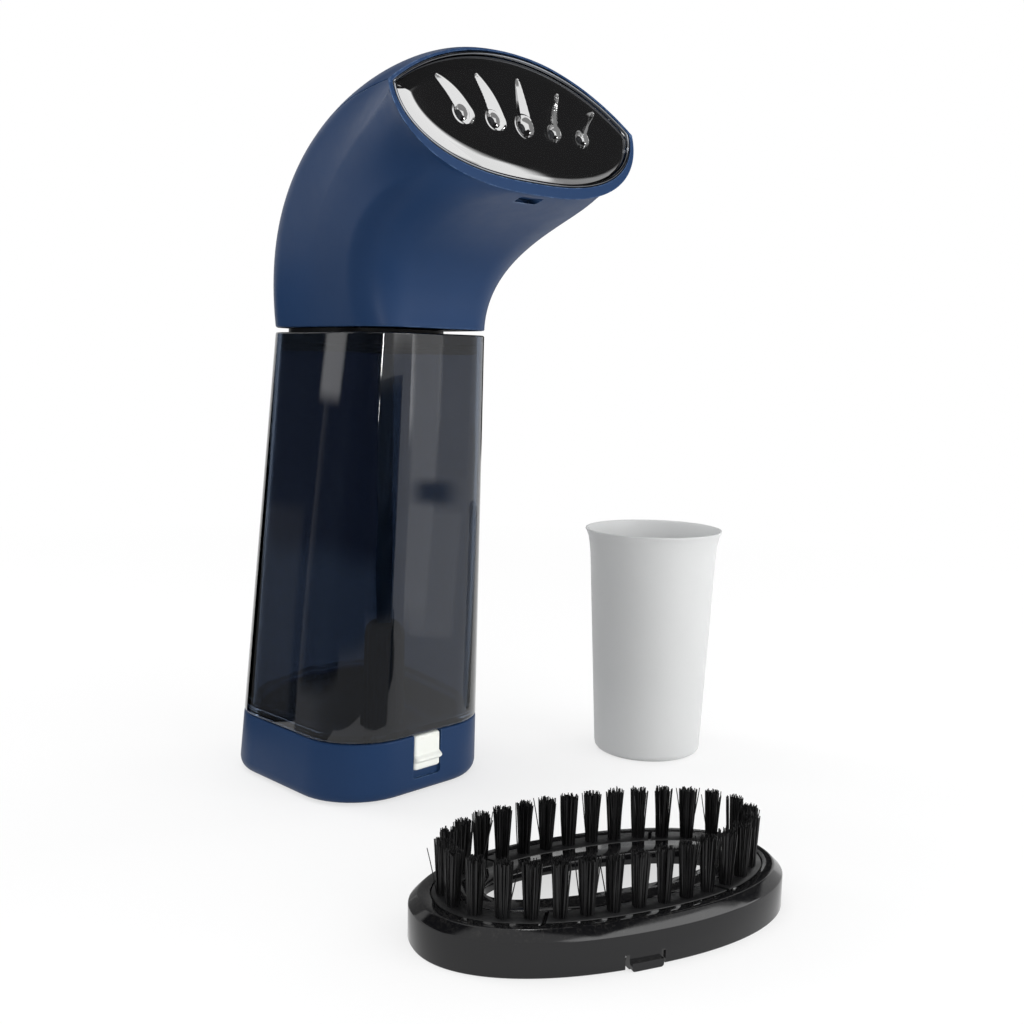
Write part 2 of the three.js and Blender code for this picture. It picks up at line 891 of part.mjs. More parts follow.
const slotHalfWidth = 4.8;
const slotHeight = 1.5;
const slotShare = 0.9;

function frontShell() {
  const body = headShell(
    (t) => Math.PI - seamAngle(t),
    (t) => 2 * Math.PI + seamAngle(t),
    frontArcSteps,
  );
  const at = throatLine.getPoint(slotShare);
  const slot = block(
    -slotHalfWidth,
    slotHalfWidth,
    -slotHeight / 2,
    slotHeight / 2,
    -overrun,
    overrun,
  );
  slot.translate(0, -at.x, at.y);
  return cut(body, slot, placed(faceSeat(), faceGroup));
}

add('head_front_shell', frontShell(), blueShell);
add('head_rear_shell', rearShell(), blueShell);

// Neck floor inside the head, screwed down to the lid's collar, with two posts that
// the rear shell is screwed to

const floorSideInset = shellWall + 2 * fit;
const floorFrontInset = 3.6;
const postSink = 1.2;
const neckScrewHead = 2.6;
const neckScrewHeadHeight = 1.6;

function neckFloor() {
  const front = throatFoot.x - floorFrontInset;
  const back = backFoot.x + floorSideInset;
  const outline = (z) => roundedRing(
    tankTopHalfWidth - floorSideInset,
    (front - back) / 2,
    tankTopCorner,
    (front + back) / 2,
    z,
  );
  const body = loft([outline(floorLow), outline(floorHigh)]);
  const postBack = wellBossDepth - wellFront + fit;
  const posts = [1, -1].map((side) => block(
    side * wellSide - postBlockHalf,
    side * wellSide + postBlockHalf,
    -postBack - postBlockDepth,
    -postBack,
    floorHigh - postSink,
    wellHeight + postBlockHalf,
  ));
  return cut(
    join(body, ...posts),
    atPump(rod(tubeRadius + fit, floorLow - overrun, floorHigh + overrun)),
    ...atNeckScrews(rod(screwBore, floorLow - overrun, floorHigh + overrun, fineSteps)),
    ...atWells(rod(screwBore, -overrun - wellFront, shellScrewTip + fit - wellFront, fineSteps)),
  );
}

add('neck_floor', neckFloor(), blackPlastic);
addEach('neck_screw', atNeckScrews(turned([
  [0, collarTop - neckScrewDepth + fit],
  [screwShank, collarTop - neckScrewDepth + fit],
  [screwShank, floorHigh + fit],
  [neckScrewHead, floorHigh + fit],
  [neckScrewHead, floorHigh + fit + neckScrewHeadHeight],
  [0, floorHigh + fit + neckScrewHeadHeight],
], fineSteps)), brightSteel);

const shellScrewSeat = wellFloor - wellFront - fit;
addEach('shell_screw', atWells(turned([
  [0, shellScrewSeat - screwHeadHeight],
  [screwHead, shellScrewSeat - screwHeadHeight],
  [screwHead, shellScrewSeat],
  [screwShank, shellScrewSeat],
  [screwShank, shellScrewTip - wellFront],
  [0, shellScrewTip - wellFront],
], fineSteps)), brightSteel);

// Pump: a plunger pump inside its coil, held by a steel yoke on a moulded bridge

const bridgeSideGap = 1.9;
const bridgeHalfDepth = 10;
const bridgeThickness = 2;
const bridgeLeg = 2.4;
const coilRadius = 9.5;
const coilHeight = 19;
const pumpRadius = 5.6;
const yokePlate = 1.5;
const yokeHalfWidth = 10;
const pumpCap = 3.4;
const nippleLength = 5;
const outletRadius = 1.6;

const bridgeHalfWidth = neckScrewSide - neckScrewHead - bridgeSideGap;
const bridgeTop = bridgeLow + bridgeThickness;
const yokeLow = bridgeTop + fit;
const coilLow = yokeLow + yokePlate + fit;
const coilHigh = coilLow + coilHeight;
const yokeHigh = coilHigh + fit + yokePlate;
const pumpTop = yokeHigh + pumpCap;
const outletTop = pumpTop + nippleLength;

function pumpBridge() {
  const outer = block(
    -bridgeHalfWidth,
    bridgeHalfWidth,
    -pumpForward - bridgeHalfDepth,
    -pumpForward + bridgeHalfDepth,
    floorHigh + fit,
    bridgeTop,
  );
  const inner = block(
    -bridgeHalfWidth + bridgeLeg,
    bridgeHalfWidth - bridgeLeg,
    -pumpForward - bridgeHalfDepth - overrun,
    -pumpForward + bridgeHalfDepth + overrun,
    floorHigh - overrun,
    bridgeLow,
  );
  return cut(outer, inner, atPump(rod(nippleRadius + fit, bridgeLow - overrun, bridgeTop + overrun)));
}

function pumpYoke() {
  const outer = block(
    -yokeHalfWidth,
    yokeHalfWidth,
    -pumpForward - yokeHalfWidth,
    -pumpForward + coilRadius + fit + yokePlate,
    yokeLow,
    yokeHigh,
  );
  const inner = block(
    -yokeHalfWidth - overrun,
    yokeHalfWidth + overrun,
    -pumpForward - yokeHalfWidth - overrun,
    -pumpForward + coilRadius + fit,
    yokeLow + yokePlate,
    yokeHigh - yokePlate,
  );
  const bore = atPump(rod(pumpRadius + fit, yokeLow - overrun, yokeHigh + overrun, pinSteps));
  return cut(outer, inner, bore);
}

add('pump_bridge', pumpBridge(), blackPlastic);
add('pump_yoke', pumpYoke(), brightSteel);
add('pump_coil', atPump(pipe(pumpRadius + fit, coilRadius, coilLow, coilHigh, roundSteps)), copperCoil);
add('pump_body', atPump(turned([
  [0, bridgeLow - nippleLength],
  [nippleRadius, bridgeLow - nippleLength],
  [nippleRadius, yokeLow],
  [pumpRadius, yokeLow],
  [pumpRadius, pumpTop],
  [outletRadius, pumpTop],
  [outletRadius, outletTop],
  [0, outletTop],
], pinSteps)), blackPlastic);

// Soleplate and its trim, both in the face's group

// Steam outlets: a row of five bowls, each drawn out above into a tapering channel
const outletPitch = 13.2;
const outletCount = 5;
const outletDrop = 4.2;
const bowlRadius = 3.3;
const middleBowlRadius = 3.9;
const bowlDepth = 1.6;
const bowlFloorShare = 0.62;
const jetRadius = 1.7;
const tailReaches = [9.7, 12.8, 14.4, 12.8, 9.7];
const tailLeans = [-7.4, -4.3, 0, 4.3, 7.4];
const tailTipRadius = 0.9;
const tailSteps = 6;
const tailDepth = 0.9;

function teardrop(bowl, tip, lean, reach, depthOut) {
  const shape = new THREE.Shape();
  const along = Math.atan2(reach, lean);
  const spread = Math.acos((bowl - tip) / Math.hypot(lean, reach));
  shape.absarc(0, 0, bowl, along + spread, along - spread + 2 * Math.PI, false);
  shape.absarc(lean, reach, tip, along - spread, along + spread, false);
  const cutter = new THREE.ExtrudeGeometry(shape, {
    depth: overrun,
    bevelEnabled: false,
    curveSegments: tailSteps,
  });
  return cutter.translate(0, 0, depthOut);
}

const outletPlaces = Array.from({ length: outletCount }, (_, i) =>
  (i - (outletCount - 1) / 2) * outletPitch);

function soleplate() {
  const body = loft([
    faceRing(-plateBackInset, faceBack),
    faceRing(-plateEdge, plateShoulder),
    faceRing(-rollInset, -plateRoll),
    faceRing(-flatInset, 0),
  ]);
  const middle = (outletCount - 1) / 2;
  const tools = outletPlaces.flatMap((across, i) => {
    const bowl = i === middle ? middleBowlRadius : bowlRadius;
    return [
      teardrop(bowl, tailTipRadius, tailLeans[i], tailReaches[i], -tailDepth),
      rod(bowl * bowlFloorShare, -bowlDepth, overrun),
      rod(jetRadius, -overrun, overrun, fineSteps),
    ].map((tool) => tool.translate(across, -outletDrop, 0));
  });
  return cut(body, ...tools);
}

add('soleplate', soleplate(), blackGloss, faceGroup);
add('face_trim', loft([
  faceRing(0, trimProud),
  faceRing(-trimDraft, -trimDepth),
  faceRing(-trimWidth, -trimDepth),
  faceRing(-trimWidth, trimProud),
], true), brightSteel, faceGroup);

// Behind the face: an insulating frame, the cast boiler, its element, cover and controls

const frameLow = -6.5;
const frameOuterInset = 5.4;
const frameLowInset = 7.4;
const frameInnerInset = 9.4;
const boilerGap = 0.5;
const boilerLow = -14.5;
const boilerTaper = 1.2;
const boilerWall = 2.8;
const cavityHigh = -5.5;
const coverThickness = 1.8;
const elementRadius = 1.8;
const elementEndInset = 31;
const elementDepth = -9.4;
const elementTail = -22;
const elementPathSteps = 22;
const elementSides = 8;
const halfTurnShare = 4 / 3;
const boilerScrewInset = 17.5;
const boilerScrewRise = 0.6;
const boilerScrewDepth = 6;
const thermostatRadius = 7;
const thermostatHeight = 3.6;
const thermostatInset = 34;
const thermostatRise = -1;
const thermostatTab = 5.4;
const thermostatTabHalf = 3;
const thermostatTabThickness = 0.8;
const fuseRadius = 1.7;
const fuseHalfLength = 5.5;
const fuseSide = -3;
const fuseInset = 2.3;
const inletInset = 1.2;
const inletNipple = 5;
const inletSink = 0.9;

const boilerHigh = faceBack - fit;
const boilerInset = frameInnerInset + boilerGap;
const boilerBackInset = boilerInset + boilerTaper;
const cavityInset = boilerInset + boilerWall;
const coverHigh = boilerLow - fit;
const coverLow = coverHigh - coverThickness;
const boilerScrewSide = faceHalfLength - boilerScrewInset;
const inletDrop = boilerBackInset + inletInset - faceBottom;
const thermostatSide = faceHalfLength - thermostatInset;
const fuseRise = faceTop - boilerBackInset - fuseInset;
const elementHalfLength = faceHalfLength - elementEndInset;
const elementHalfGap = ((faceTop + faceBottom) / 2 - cavityInset) / 2;
const elementDrop = (faceBottom - faceTop) / 2;

add('face_frame', loft([
  faceRing(-frameOuterInset, faceBack - fit),
  faceRing(-frameLowInset, frameLow),
  faceRing(-frameInnerInset, frameLow),
  faceRing(-frameInnerInset, faceBack - fit),
], true), blackPlastic, faceGroup);

const atBoilerScrews = (geometry) => [1, -1].map((side) =>
  geometry.clone().translate(side * boilerScrewSide, boilerScrewRise, 0));

const elementEnds = [1, -1].map((side) => new THREE.Vector3(
  -elementHalfLength,
  side * elementHalfGap - elementDrop,
  0,
));

const atElementEnds = (geometry) => elementEnds.map((at) =>
  geometry.clone().translate(at.x, at.y, 0));

function boiler() {
  const body = loft([
    faceRing(-boilerInset, boilerHigh),
    faceRing(-boilerBackInset, boilerLow),
  ]);
  const cavity = loft([
    faceRing(-cavityInset, cavityHigh),
    faceRing(-cavityInset, boilerLow - overrun),
  ]);
  const bores = atBoilerScrews(rod(
    screwBore,
    boilerLow - overrun,
    boilerLow + boilerScrewDepth,
    fineSteps,
  ));
  return cut(body, cavity, ...bores);
}

function boilerCover() {
  const body = loft([
    faceRing(-boilerBackInset, coverHigh),
    faceRing(-boilerBackInset, coverLow),
  ]);
  const nipple = rod(outletRadius, coverLow - inletNipple, coverHigh - inletSink, fineSteps)
    .translate(0, inletDrop, 0);
  return cut(
    join(body, nipple),
    ...atBoilerScrews(rod(screwBore, coverLow - overrun, coverHigh + overrun, fineSteps)),
    ...atElementEnds(rod(elementRadius + fit, coverLow - overrun, coverHigh + overrun, pinSteps)),
  );
}

// A hairpin: in through the cover, along the boiler, round and back out
function heatingElement() {
  const [near, far] = elementEnds;
  const bend = elementHalfGap;
  const path = new THREE.CurvePath();
  const corner = (side, x, z) => new THREE.Vector3(x, side.y, z);
  const line = (from, to) => path.add(new THREE.LineCurve3(from, to));
  const inTurn = corner(near, near.x, elementDepth - bend);
  const inRun = corner(near, near.x + bend, elementDepth);
  const nearEnd = corner(near, elementHalfLength - bend, elementDepth);
  const farEnd = corner(far, elementHalfLength - bend, elementDepth);
  const outRun = corner(far, far.x + bend, elementDepth);
  const outTurn = corner(far, far.x, elementDepth - bend);
  const reach = new THREE.Vector3(bend * halfTurnShare, 0, 0);
  line(corner(near, near.x, elementTail), inTurn);
  path.add(new THREE.QuadraticBezierCurve3(inTurn, corner(near, near.x, elementDepth), inRun));
  line(inRun, nearEnd);
  path.add(new THREE.CubicBezierCurve3(
    nearEnd,
    nearEnd.clone().add(reach),
    farEnd.clone().add(reach),
    farEnd,
  ));
  line(farEnd, outRun);
  path.add(new THREE.QuadraticBezierCurve3(outRun, corner(far, far.x, elementDepth), outTurn));
  line(outTurn, corner(far, far.x, elementTail));
  return new THREE.ExtrudeGeometry(circle(elementRadius, elementSides), {
    steps: elementPathSteps,
    bevelEnabled: false,
    extrudePath: path,
  });
}

function circle(radius, sides) {
  const outline = Array.from({ length: sides }, (_, i) => {
    const angle = (2 * Math.PI * i) / sides;
    return new THREE.Vector2(radius * Math.cos(angle), radius * Math.sin(angle));
  });
  return new THREE.Shape(outline);
}

function thermostat() {
  const high = coverLow - fit;
  const low = high - thermostatHeight;
  const body = rod(thermostatRadius, low, high, pinSteps)
    .translate(thermostatSide, thermostatRise, 0);
  const tabs = [1, -1].map((side) => block(
    thermostatSide - thermostatTabHalf,
    thermostatSide + thermostatTabHalf,
    thermostatRise + side * thermostatTabHalf - thermostatTabThickness / 2,
    thermostatRise + side * thermostatTabHalf + thermostatTabThickness / 2,
    low - thermostatTab,
    low + fit,
  ));
  return join(body, ...tabs);
}

function thermalFuse() {
  const centre = coverLow - fit - fuseRadius;
  return rod(fuseRadius, -fuseHalfLength, fuseHalfLength, fineSteps)
    .rotateY(Math.PI / 2)
    .translate(fuseSide, fuseRise, centre);
}

add('boiler', boiler(), castAlloy, faceGroup);
add('boiler_cover', boilerCover(), castAlloy, faceGroup);
addEach('boiler_screw', atBoilerScrews(
  screwBody(boilerLow + boilerScrewDepth - fit, coverLow - fit, neckScrewHeadHeight),
), brightSteel, faceGroup);
add('heating_element', heatingElement(), brightSteel, faceGroup);
add('thermostat', thermostat(), blackPlastic, faceGroup);
add('thermal_fuse', thermalFuse(), whiteRubber, faceGroup);

// Hose from the pump's outlet to the boiler's inlet

const hoseBore = outletRadius + fit;
const hoseRadius = 3.2;
const hoseSteps = 14;
const hoseSides = 8;
const hoseRise = 7;
const hoseStraight = 2;
const hoseApproach = 12;

function outletHose() {
  const inlet = alongFace(inletDrop, coverLow - fit);
  const before = alongFace(inletDrop, coverLow - hoseApproach);
  const inletTip = alongFace(inletDrop, coverLow - inletNipple - hoseStraight);
  const start = point(0, pumpForward, pumpTop + fit);
  const outletTip = point(0, pumpForward, outletTop + hoseStraight);
  const inletEnd = point(0, inletTip.x, inletTip.y);
  const run = new THREE.CurvePath();
  run.add(new THREE.LineCurve3(start, outletTip));
  run.add(new THREE.CubicBezierCurve3(
    outletTip,
    point(0, pumpForward, outletTop + hoseRise),
    point(0, before.x, before.y),
    inletEnd,
  ));
  run.add(new THREE.LineCurve3(inletEnd, point(0, inlet.x, inlet.y)));
  const ring = circle(hoseRadius, hoseSides);
  ring.holes.push(circle(hoseBore, hoseSides));
  return new THREE.ExtrudeGeometry(ring, {
    steps: hoseSteps,
    bevelEnabled: false,
    extrudePath: run,
  });
}

add('outlet_hose', outletHose(), clearSilicone);

// Steam button, its switch and circuit board, in the group on the back

function steamButton() {
  const cap = loft([
    buttonRing(0, flangeLow + flangeThickness / 2),
    buttonRing(0, buttonProud - buttonDome),
    buttonRing(-buttonDome, buttonProud - buttonDomeDrop),
    buttonRing(-buttonDomeInset, buttonProud),
  ]);
  const skirt = loft([buttonRing(buttonSkirt, flangeLow), buttonRing(buttonSkirt, flangeHigh)]);
  return join(cap, skirt, rod(buttonStemRadius, buttonStemLow, flangeHigh, fineSteps));
}

const switchHalfWidth = 3;
const switchHalfHeight = 3;
const switchHigh = -7.4;
const plungerRadius = 1.6;
const plungerHigh = -7;

function microswitch() {
  const body = block(
    -switchHalfWidth,
    switchHalfWidth,
    -switchHalfHeight,
    switchHalfHeight,
    boardHigh + fit,
    switchHigh,
  );
  return join(body, rod(plungerRadius, switchHigh - fit, plungerHigh, fineSteps));
}

function controlBoard() {
  const body = block(
    -boardHalfWidth,
    boardHalfWidth,
    -boardHalfHeight,
    boardHalfHeight,
    boardHigh - boardThickness,
    boardHigh,
  );
  return cut(body, ...atPosts(rod(postBore, -overrun + boardHigh, overrun + boardHigh, fineSteps)));
}

const boardLow = boardHigh - boardThickness;
add('steam_button', steamButton(), blackGloss, buttonGroup);
add('microswitch', microswitch(), blackPlastic, buttonGroup);
add('control_board', controlBoard(), boardGreen, buttonGroup);
addEach('board_screw', atPosts(screwBody(
  boardHigh + postScrewDepth - fit,
  boardLow - fit / 2,
  screwHeadHeight,
  postScrewHead,
  postScrew,
)), brightSteel, buttonGroup);
add('indicator_lens', turned([
  [0, flangeLow - fit],
  [indicatorFlange, flangeLow - fit],
  [indicatorFlange, flangeHigh - fit],
  [indicatorRadius, flangeHigh - fit],
  [indicatorRadius, 0],
  [indicatorCrown, indicatorProud],
  [0, indicatorProud],
], pinSteps), redLens, indicatorGroup);
add('cord_gland', turned([
  [glandBore, glandLow],
  [glandInner, glandLow],
  [glandInner, flangeHigh - fit],
  [glandRadius, flangeHigh - fit],
  [glandRadius, fit],
  [glandFlange, fit],
  [glandFlange, glandProud - glandStep],
  [glandFlange - glandStep, glandProud],
  [glandBore, glandProud],
  [glandBore, glandLow],
], glandSteps), softRubber, glandGroup);

// Brush attachment, lying bristles up: +X along it, +Y away from its clip

const brushForward = 145;
const brushSide = -25.5;
const brushTurn = THREE.MathUtils.degToRad(-21.8);
const brushHalfLength = 55.4;
const brushHalfWidth = 30.5;
const brushHeight = 12;
const brushChamfer = 2.6;
const brushWall = 2;
const brushDeck = 2.6;
const openingHalfLength = 35;
const openingHalfWidth = 10.2;
const brushRoundShare = 2.2;
const rowHalfLength = 46;
const rowHalfWidth = 21.5;
const bandHalf = 3.2;
const bandDepth = 1;

const brushGroup = subgroup(point(brushSide, brushForward, 0), 0, brushTurn);

function brushPoint(halfLength, halfWidth, angle, z) {
  const power = 2 / brushRoundShare;
  const c = Math.cos(angle);
  const s = Math.sin(angle);
  return new THREE.Vector3(
    Math.sign(c) * halfLength * Math.abs(c) ** power,
    Math.sign(s) * halfWidth * Math.abs(s) ** power,
    z,
  );
}

function brushRing(halfLength, halfWidth, z) {
  return Array.from({ length: brushSteps }, (_, i) =>
    brushPoint(halfLength, halfWidth, (2 * Math.PI * i) / brushSteps, z));
}

const brushOuter = (inset, z) => brushRing(brushHalfLength - inset, brushHalfWidth - inset, z);
const brushRow = (grow, z) => brushRing(rowHalfLength + grow, rowHalfWidth + grow, z);

// The clip hook in the middle of the skirt's front edge, between two slots
const clipAcross = -2.7;
const clipHalfWidth = 4.6;
const clipSlot = 1.2;
const clipSlotHeight = 4;
const clipHook = 1.4;
const clipHookHeight = 1.6;

function brushFrame() {
  const deckLow = brushHeight - brushDeck;
  const grooveLow = brushHeight - bandDepth - fit;
  const body = loft([
    brushOuter(0, 0),
    brushOuter(0, brushHeight - brushChamfer),
    brushOuter(brushChamfer, brushHeight),
    brushRow(bandHalf + fit, brushHeight),
    brushRow(bandHalf + fit, grooveLow),
    brushRow(-bandHalf - fit, grooveLow),
    brushRow(-bandHalf - fit, brushHeight),
    brushRing(openingHalfLength, openingHalfWidth, brushHeight),
    brushRing(openingHalfLength, openingHalfWidth, deckLow),
    brushOuter(brushWall + fit, deckLow),
    brushOuter(brushWall, 0),
  ], true);
  const clipShare = Math.abs(clipAcross) / brushHalfLength;
  const near = -brushHalfWidth * (1 - clipShare ** brushRoundShare) ** (1 / brushRoundShare);
  const slots = [1, -1].map((side) => block(
    clipAcross + side * (clipHalfWidth + clipSlot / 2) - clipSlot / 2,
    clipAcross + side * (clipHalfWidth + clipSlot / 2) + clipSlot / 2,
    near - overrun,
    near + overrun,
    -overrun,
    clipSlotHeight,
  ));
  const hook = block(
    clipAcross - clipHalfWidth,
    clipAcross + clipHalfWidth,
    near + brushWall / 2,
    near + brushWall + clipHook,
    0,
    clipHookHeight,
  );
  return cut(join(body, hook), ...slots);
}

add('brush_frame', brushFrame(), blackGloss, brushGroup);

// Bristles: tufts at even spacing round an oval, in four lengths of backing. Each
// strand has three sides and leans outwards from the middle of its tuft.
const tuftCount = 30;
const strandCount = 11;
const tuftRadius = 1.75;
const middleShare = 0.5;
const tuftFlareShare = 0.55;
const bristleLength = 15;
const strandRadius = 0.34;
const strandTip = 0.2;
const strandSides = 3;
const strandRoot = 0.5;
const bandSteps = 15;
const goldenTurn = Math.PI * (3 - Math.sqrt(5));
const rowSteps = 720;
const raggedShares = [1, 0.93, 0.97, 0.9, 0.99, 0.95, 1, 0.92, 0.98, 0.94, 0.96];

const bandHigh = brushHeight;
const bandLow = brushHeight - bandDepth;

// The angle at which the row's length from its +X end is a number of tuft spacings
function rowAngle(tufts) {
  const places = Array.from({ length: rowSteps + 1 }, (_, i) =>
    brushPoint(rowHalfLength, rowHalfWidth, (2 * Math.PI * i) / rowSteps, 0));
  const lengths = [0];
  for (let i = 1; i <= rowSteps; i += 1) {
    lengths.push(lengths[i - 1] + places[i].distanceTo(places[i - 1]));
  }
  const rounds = Math.floor(tufts / tuftCount);
  const target = (tufts / tuftCount - rounds) * lengths[rowSteps];
  const after = Math.max(lengths.findIndex((length) => length >= target), 1);
  const within = (target - lengths[after - 1]) / (lengths[after] - lengths[after - 1]);
  return 2 * Math.PI * (rounds + (after - 1 + within) / rowSteps);
}

function strand(x, y, leanX, leanY, height, turn) {
  const ring = (scale, cx, cy, z) => Array.from({ length: strandSides }, (_, i) => {
    const angle = turn + (2 * Math.PI * i) / strandSides;
    return new THREE.Vector3(cx + scale * Math.cos(angle), cy + scale * Math.sin(angle), z);
  });
  return loft([
    ring(strandRadius, x, y, bandHigh - strandRoot),
    ring(strandTip, x + leanX, y + leanY, bandHigh + height),
  ]);
}

function tuft(at) {
  return Array.from({ length: strandCount }, (_, i) => {
    const reach = tuftRadius * Math.sqrt((i + middleShare) / strandCount);
    const angle = i * goldenTurn;
    const x = reach * Math.cos(angle);
    const y = reach * Math.sin(angle);
    return strand(
      at.x + x,
      at.y + y,
      x * tuftFlareShare,
      y * tuftFlareShare,
      bristleLength * raggedShares[i % raggedShares.length],
      angle,
    );
  });
}

function bristleBand(fromAngle, toAngle, tuftAngles) {
  const inner = [];
  const outer = [];
  for (let i = 0; i <= bandSteps; i += 1) {
    const angle = mix(fromAngle, toAngle, i / bandSteps);
    inner.unshift([rowHalfLength - bandHalf, rowHalfWidth - bandHalf, angle]);
    outer.push([rowHalfLength + bandHalf, rowHalfWidth + bandHalf, angle]);
  }
  const outline = [...outer, ...inner];
  const rings = [bandLow, bandHigh].map((z) =>
    outline.map(([halfLength, halfWidth, angle]) => brushPoint(halfLength, halfWidth, angle, z)));
  const strands = tuftAngles.flatMap((angle) =>
    tuft(brushPoint(rowHalfLength, rowHalfWidth, angle, 0)));
  return join(loft(rings), geometryOf(wasm.Manifold.compose(strands.map(solidOf))));
}

const bandTufts = { right: 8, back: 7, left: 8, front: 7 };
const edgeGap = fit / rowHalfWidth;
let firstTuft = -bandTufts.right / 2;
for (const [name, count] of Object.entries(bandTufts)) {
  const own = Array.from({ length: count }, (_, i) => rowAngle(firstTuft + i + middleShare));
  const from = rowAngle(firstTuft) + edgeGap;
  const to = rowAngle(firstTuft + count) - edgeGap;
  add(`bristles_${name}`, bristleBand(from, to, own), bristleNylon, brushGroup);
  firstTuft += count;
}

// Measuring cup

const cupSide = 100;
const cupForward = 60;
const cupFootRadius = 21;
const cupRimRadius = 25.2;
const cupHeight = 89;
const cupWall = 1.3;
const cupLip = 1.6;
const cupLipHeight = 1.8;
const cupFloor = 1.6;
const cupFootRounding = 2.4;
const cupFootChamfer = 0.8;

const cupGroup = subgroup(point(cupSide, cupForward, 0));
add('measuring_cup', turned([
  [0, 0],
  [cupFootRadius - cupFootRounding, 0],
  [cupFootRadius - cupFootChamfer, cupFootChamfer],
  [cupFootRadius, cupFootRounding],
  [cupRimRadius, cupHeight - cupLipHeight],
  [cupRimRadius + cupLip, cupHeight - cupLipHeight / 2],
  [cupRimRadius + cupLip, cupHeight],
  [cupRimRadius - cupWall, cupHeight],
  [cupFootRadius - cupWall, cupFloor + cupFootRounding],
  [cupFootRadius - cupWall - cupFootRounding / 2, cupFloor],
  [0, cupFloor],
], roundSteps), frostedPlastic, cupGroup);

export default parts;
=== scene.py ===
import math
import random

import bmesh
import bpy
import numpy as np
from mathutils import Matrix, Vector


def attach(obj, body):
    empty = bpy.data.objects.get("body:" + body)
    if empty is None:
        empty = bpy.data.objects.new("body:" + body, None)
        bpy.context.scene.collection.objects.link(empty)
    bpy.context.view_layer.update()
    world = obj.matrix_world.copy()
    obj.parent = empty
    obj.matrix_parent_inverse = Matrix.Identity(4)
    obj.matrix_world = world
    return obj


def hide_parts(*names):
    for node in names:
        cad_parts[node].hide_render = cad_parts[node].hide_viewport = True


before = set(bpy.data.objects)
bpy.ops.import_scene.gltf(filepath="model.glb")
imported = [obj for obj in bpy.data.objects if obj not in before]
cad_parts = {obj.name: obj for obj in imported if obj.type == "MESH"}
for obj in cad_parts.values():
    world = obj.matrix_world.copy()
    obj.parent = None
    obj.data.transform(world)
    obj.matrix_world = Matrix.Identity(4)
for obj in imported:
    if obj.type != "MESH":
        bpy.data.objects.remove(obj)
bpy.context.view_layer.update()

scene = bpy.context.scene
scene.view_settings.view_transform = "Standard"
mm = 0.001

# Camera. It stands low in front of the steamer's left side and looks slightly down,
# with the small roll of the photograph.
camera_place = Vector((-267.39, -349.94, 152.42)) * mm
camera_heading = math.radians(-44.84)
camera_pitch = math.radians(7.12)
camera_roll = math.radians(1.11)
focal_pixels = 1186.29
frame_pixels = 1024

camera_data = bpy.data.cameras.new("camera")
camera_data.sensor_width = 36
camera_data.lens = camera_data.sensor_width * focal_pixels / frame_pixels
camera = bpy.data.objects.new("camera", camera_data)
scene.collection.objects.link(camera)
scene.camera = camera

upright = Vector((0, 0, 1))
level_right = Vector((math.cos(camera_heading), math.sin(camera_heading), 0))
level_back = Vector((math.sin(camera_heading), -math.cos(camera_heading), 0))
tilted_up = upright * math.cos(camera_pitch) - level_back * math.sin(camera_pitch)
sight_back = level_back * math.cos(camera_pitch) + upright * math.sin(camera_pitch)
camera_right = level_right * math.cos(camera_roll) + tilted_up * math.sin(camera_roll)
camera_up = tilted_up * math.cos(camera_roll) - level_right * math.sin(camera_roll)
camera.matrix_world = (
    Matrix.Translation(camera_place)
    @ Matrix((camera_right, camera_up, sight_back)).transposed().to_4x4()
)

# Floor and backdrop. A plain pale studio surface: what the camera, gloss and clear
# plastic see of it is white, and it still takes the object's shadow.
floor_half = 3
floor_white = (0.9, 0.9, 0.9, 1)
floor_glow = 0.65
glow_from, glow_full = 0.25, 0.7
world_fill = 0.65


def add_node(tree, kind, inputs=(), **settings):
    made = tree.nodes.new(kind)
    for key, value in settings.items():
        setattr(made, key, value)
    for key, value in dict(inputs).items():
        if isinstance(value, bpy.types.NodeSocket):
            tree.links.new(value, made.inputs[key])
        else:
            made.inputs[key].default_value = value
    return made


def math_node(tree, operation, first, second=0.0, third=0.0, clamp=False):
    return add_node(
        tree, "ShaderNodeMath", {0: first, 1: second, 2: third},
        operation=operation, use_clamp=clamp,
    ).outputs[0]


def remap(tree, value, low, high, to_low=0.0, to_high=1.0, **settings):
    return add_node(tree, "ShaderNodeMapRange", {
        "Value": value, "From Min": low, "From Max": high, "To Min": to_low, "To Max": to_high,
    }, **settings).outputs[0]


def own_place(tree):
    """Places in the piece's own space."""
    return add_node(tree, "ShaderNodeTexCoord").outputs["Object"]


def seen_directly(tree):
    path = add_node(tree, "ShaderNodeLightPath")
    near = math_node(
        tree, "MAXIMUM", path.outputs["Is Camera Ray"], path.outputs["Is Glossy Ray"]
    )
    return math_node(tree, "MAXIMUM", near, path.outputs["Is Transmission Ray"])


def flat_panel(name, half_x, half_y):
    mesh = bpy.data.meshes.new(name)
    corners = [
        (-half_x, -half_y, 0), (half_x, -half_y, 0), (half_x, half_y, 0), (-half_x, half_y, 0),
    ]
    mesh.from_pydata(corners, [], [(0, 1, 2, 3)])
    panel = bpy.data.objects.new(name, mesh)
    scene.collection.objects.link(panel)
    material = bpy.data.materials.new(name)
    material.use_nodes = True
    material.node_tree.nodes.clear()
    mesh.materials.append(material)
    return panel, material.node_tree


world = bpy.data.worlds.new("studio")
scene.world = world
world.use_nodes = True
sky = world.node_tree
sky.nodes.clear()
white = add_node(sky, "ShaderNodeBackground", {"Color": (1, 1, 1, 1), "Strength": 1})
fill = add_node(sky, "ShaderNodeBackground", {"Color": (1, 1, 1, 1), "Strength": world_fill})
seen = add_node(sky, "ShaderNodeMixShader", {
    0: seen_directly(sky), 1: fill.outputs[0], 2: white.outputs[0],
})
add_node(sky, "ShaderNodeOutputWorld", {"Surface": seen.outputs[0]})

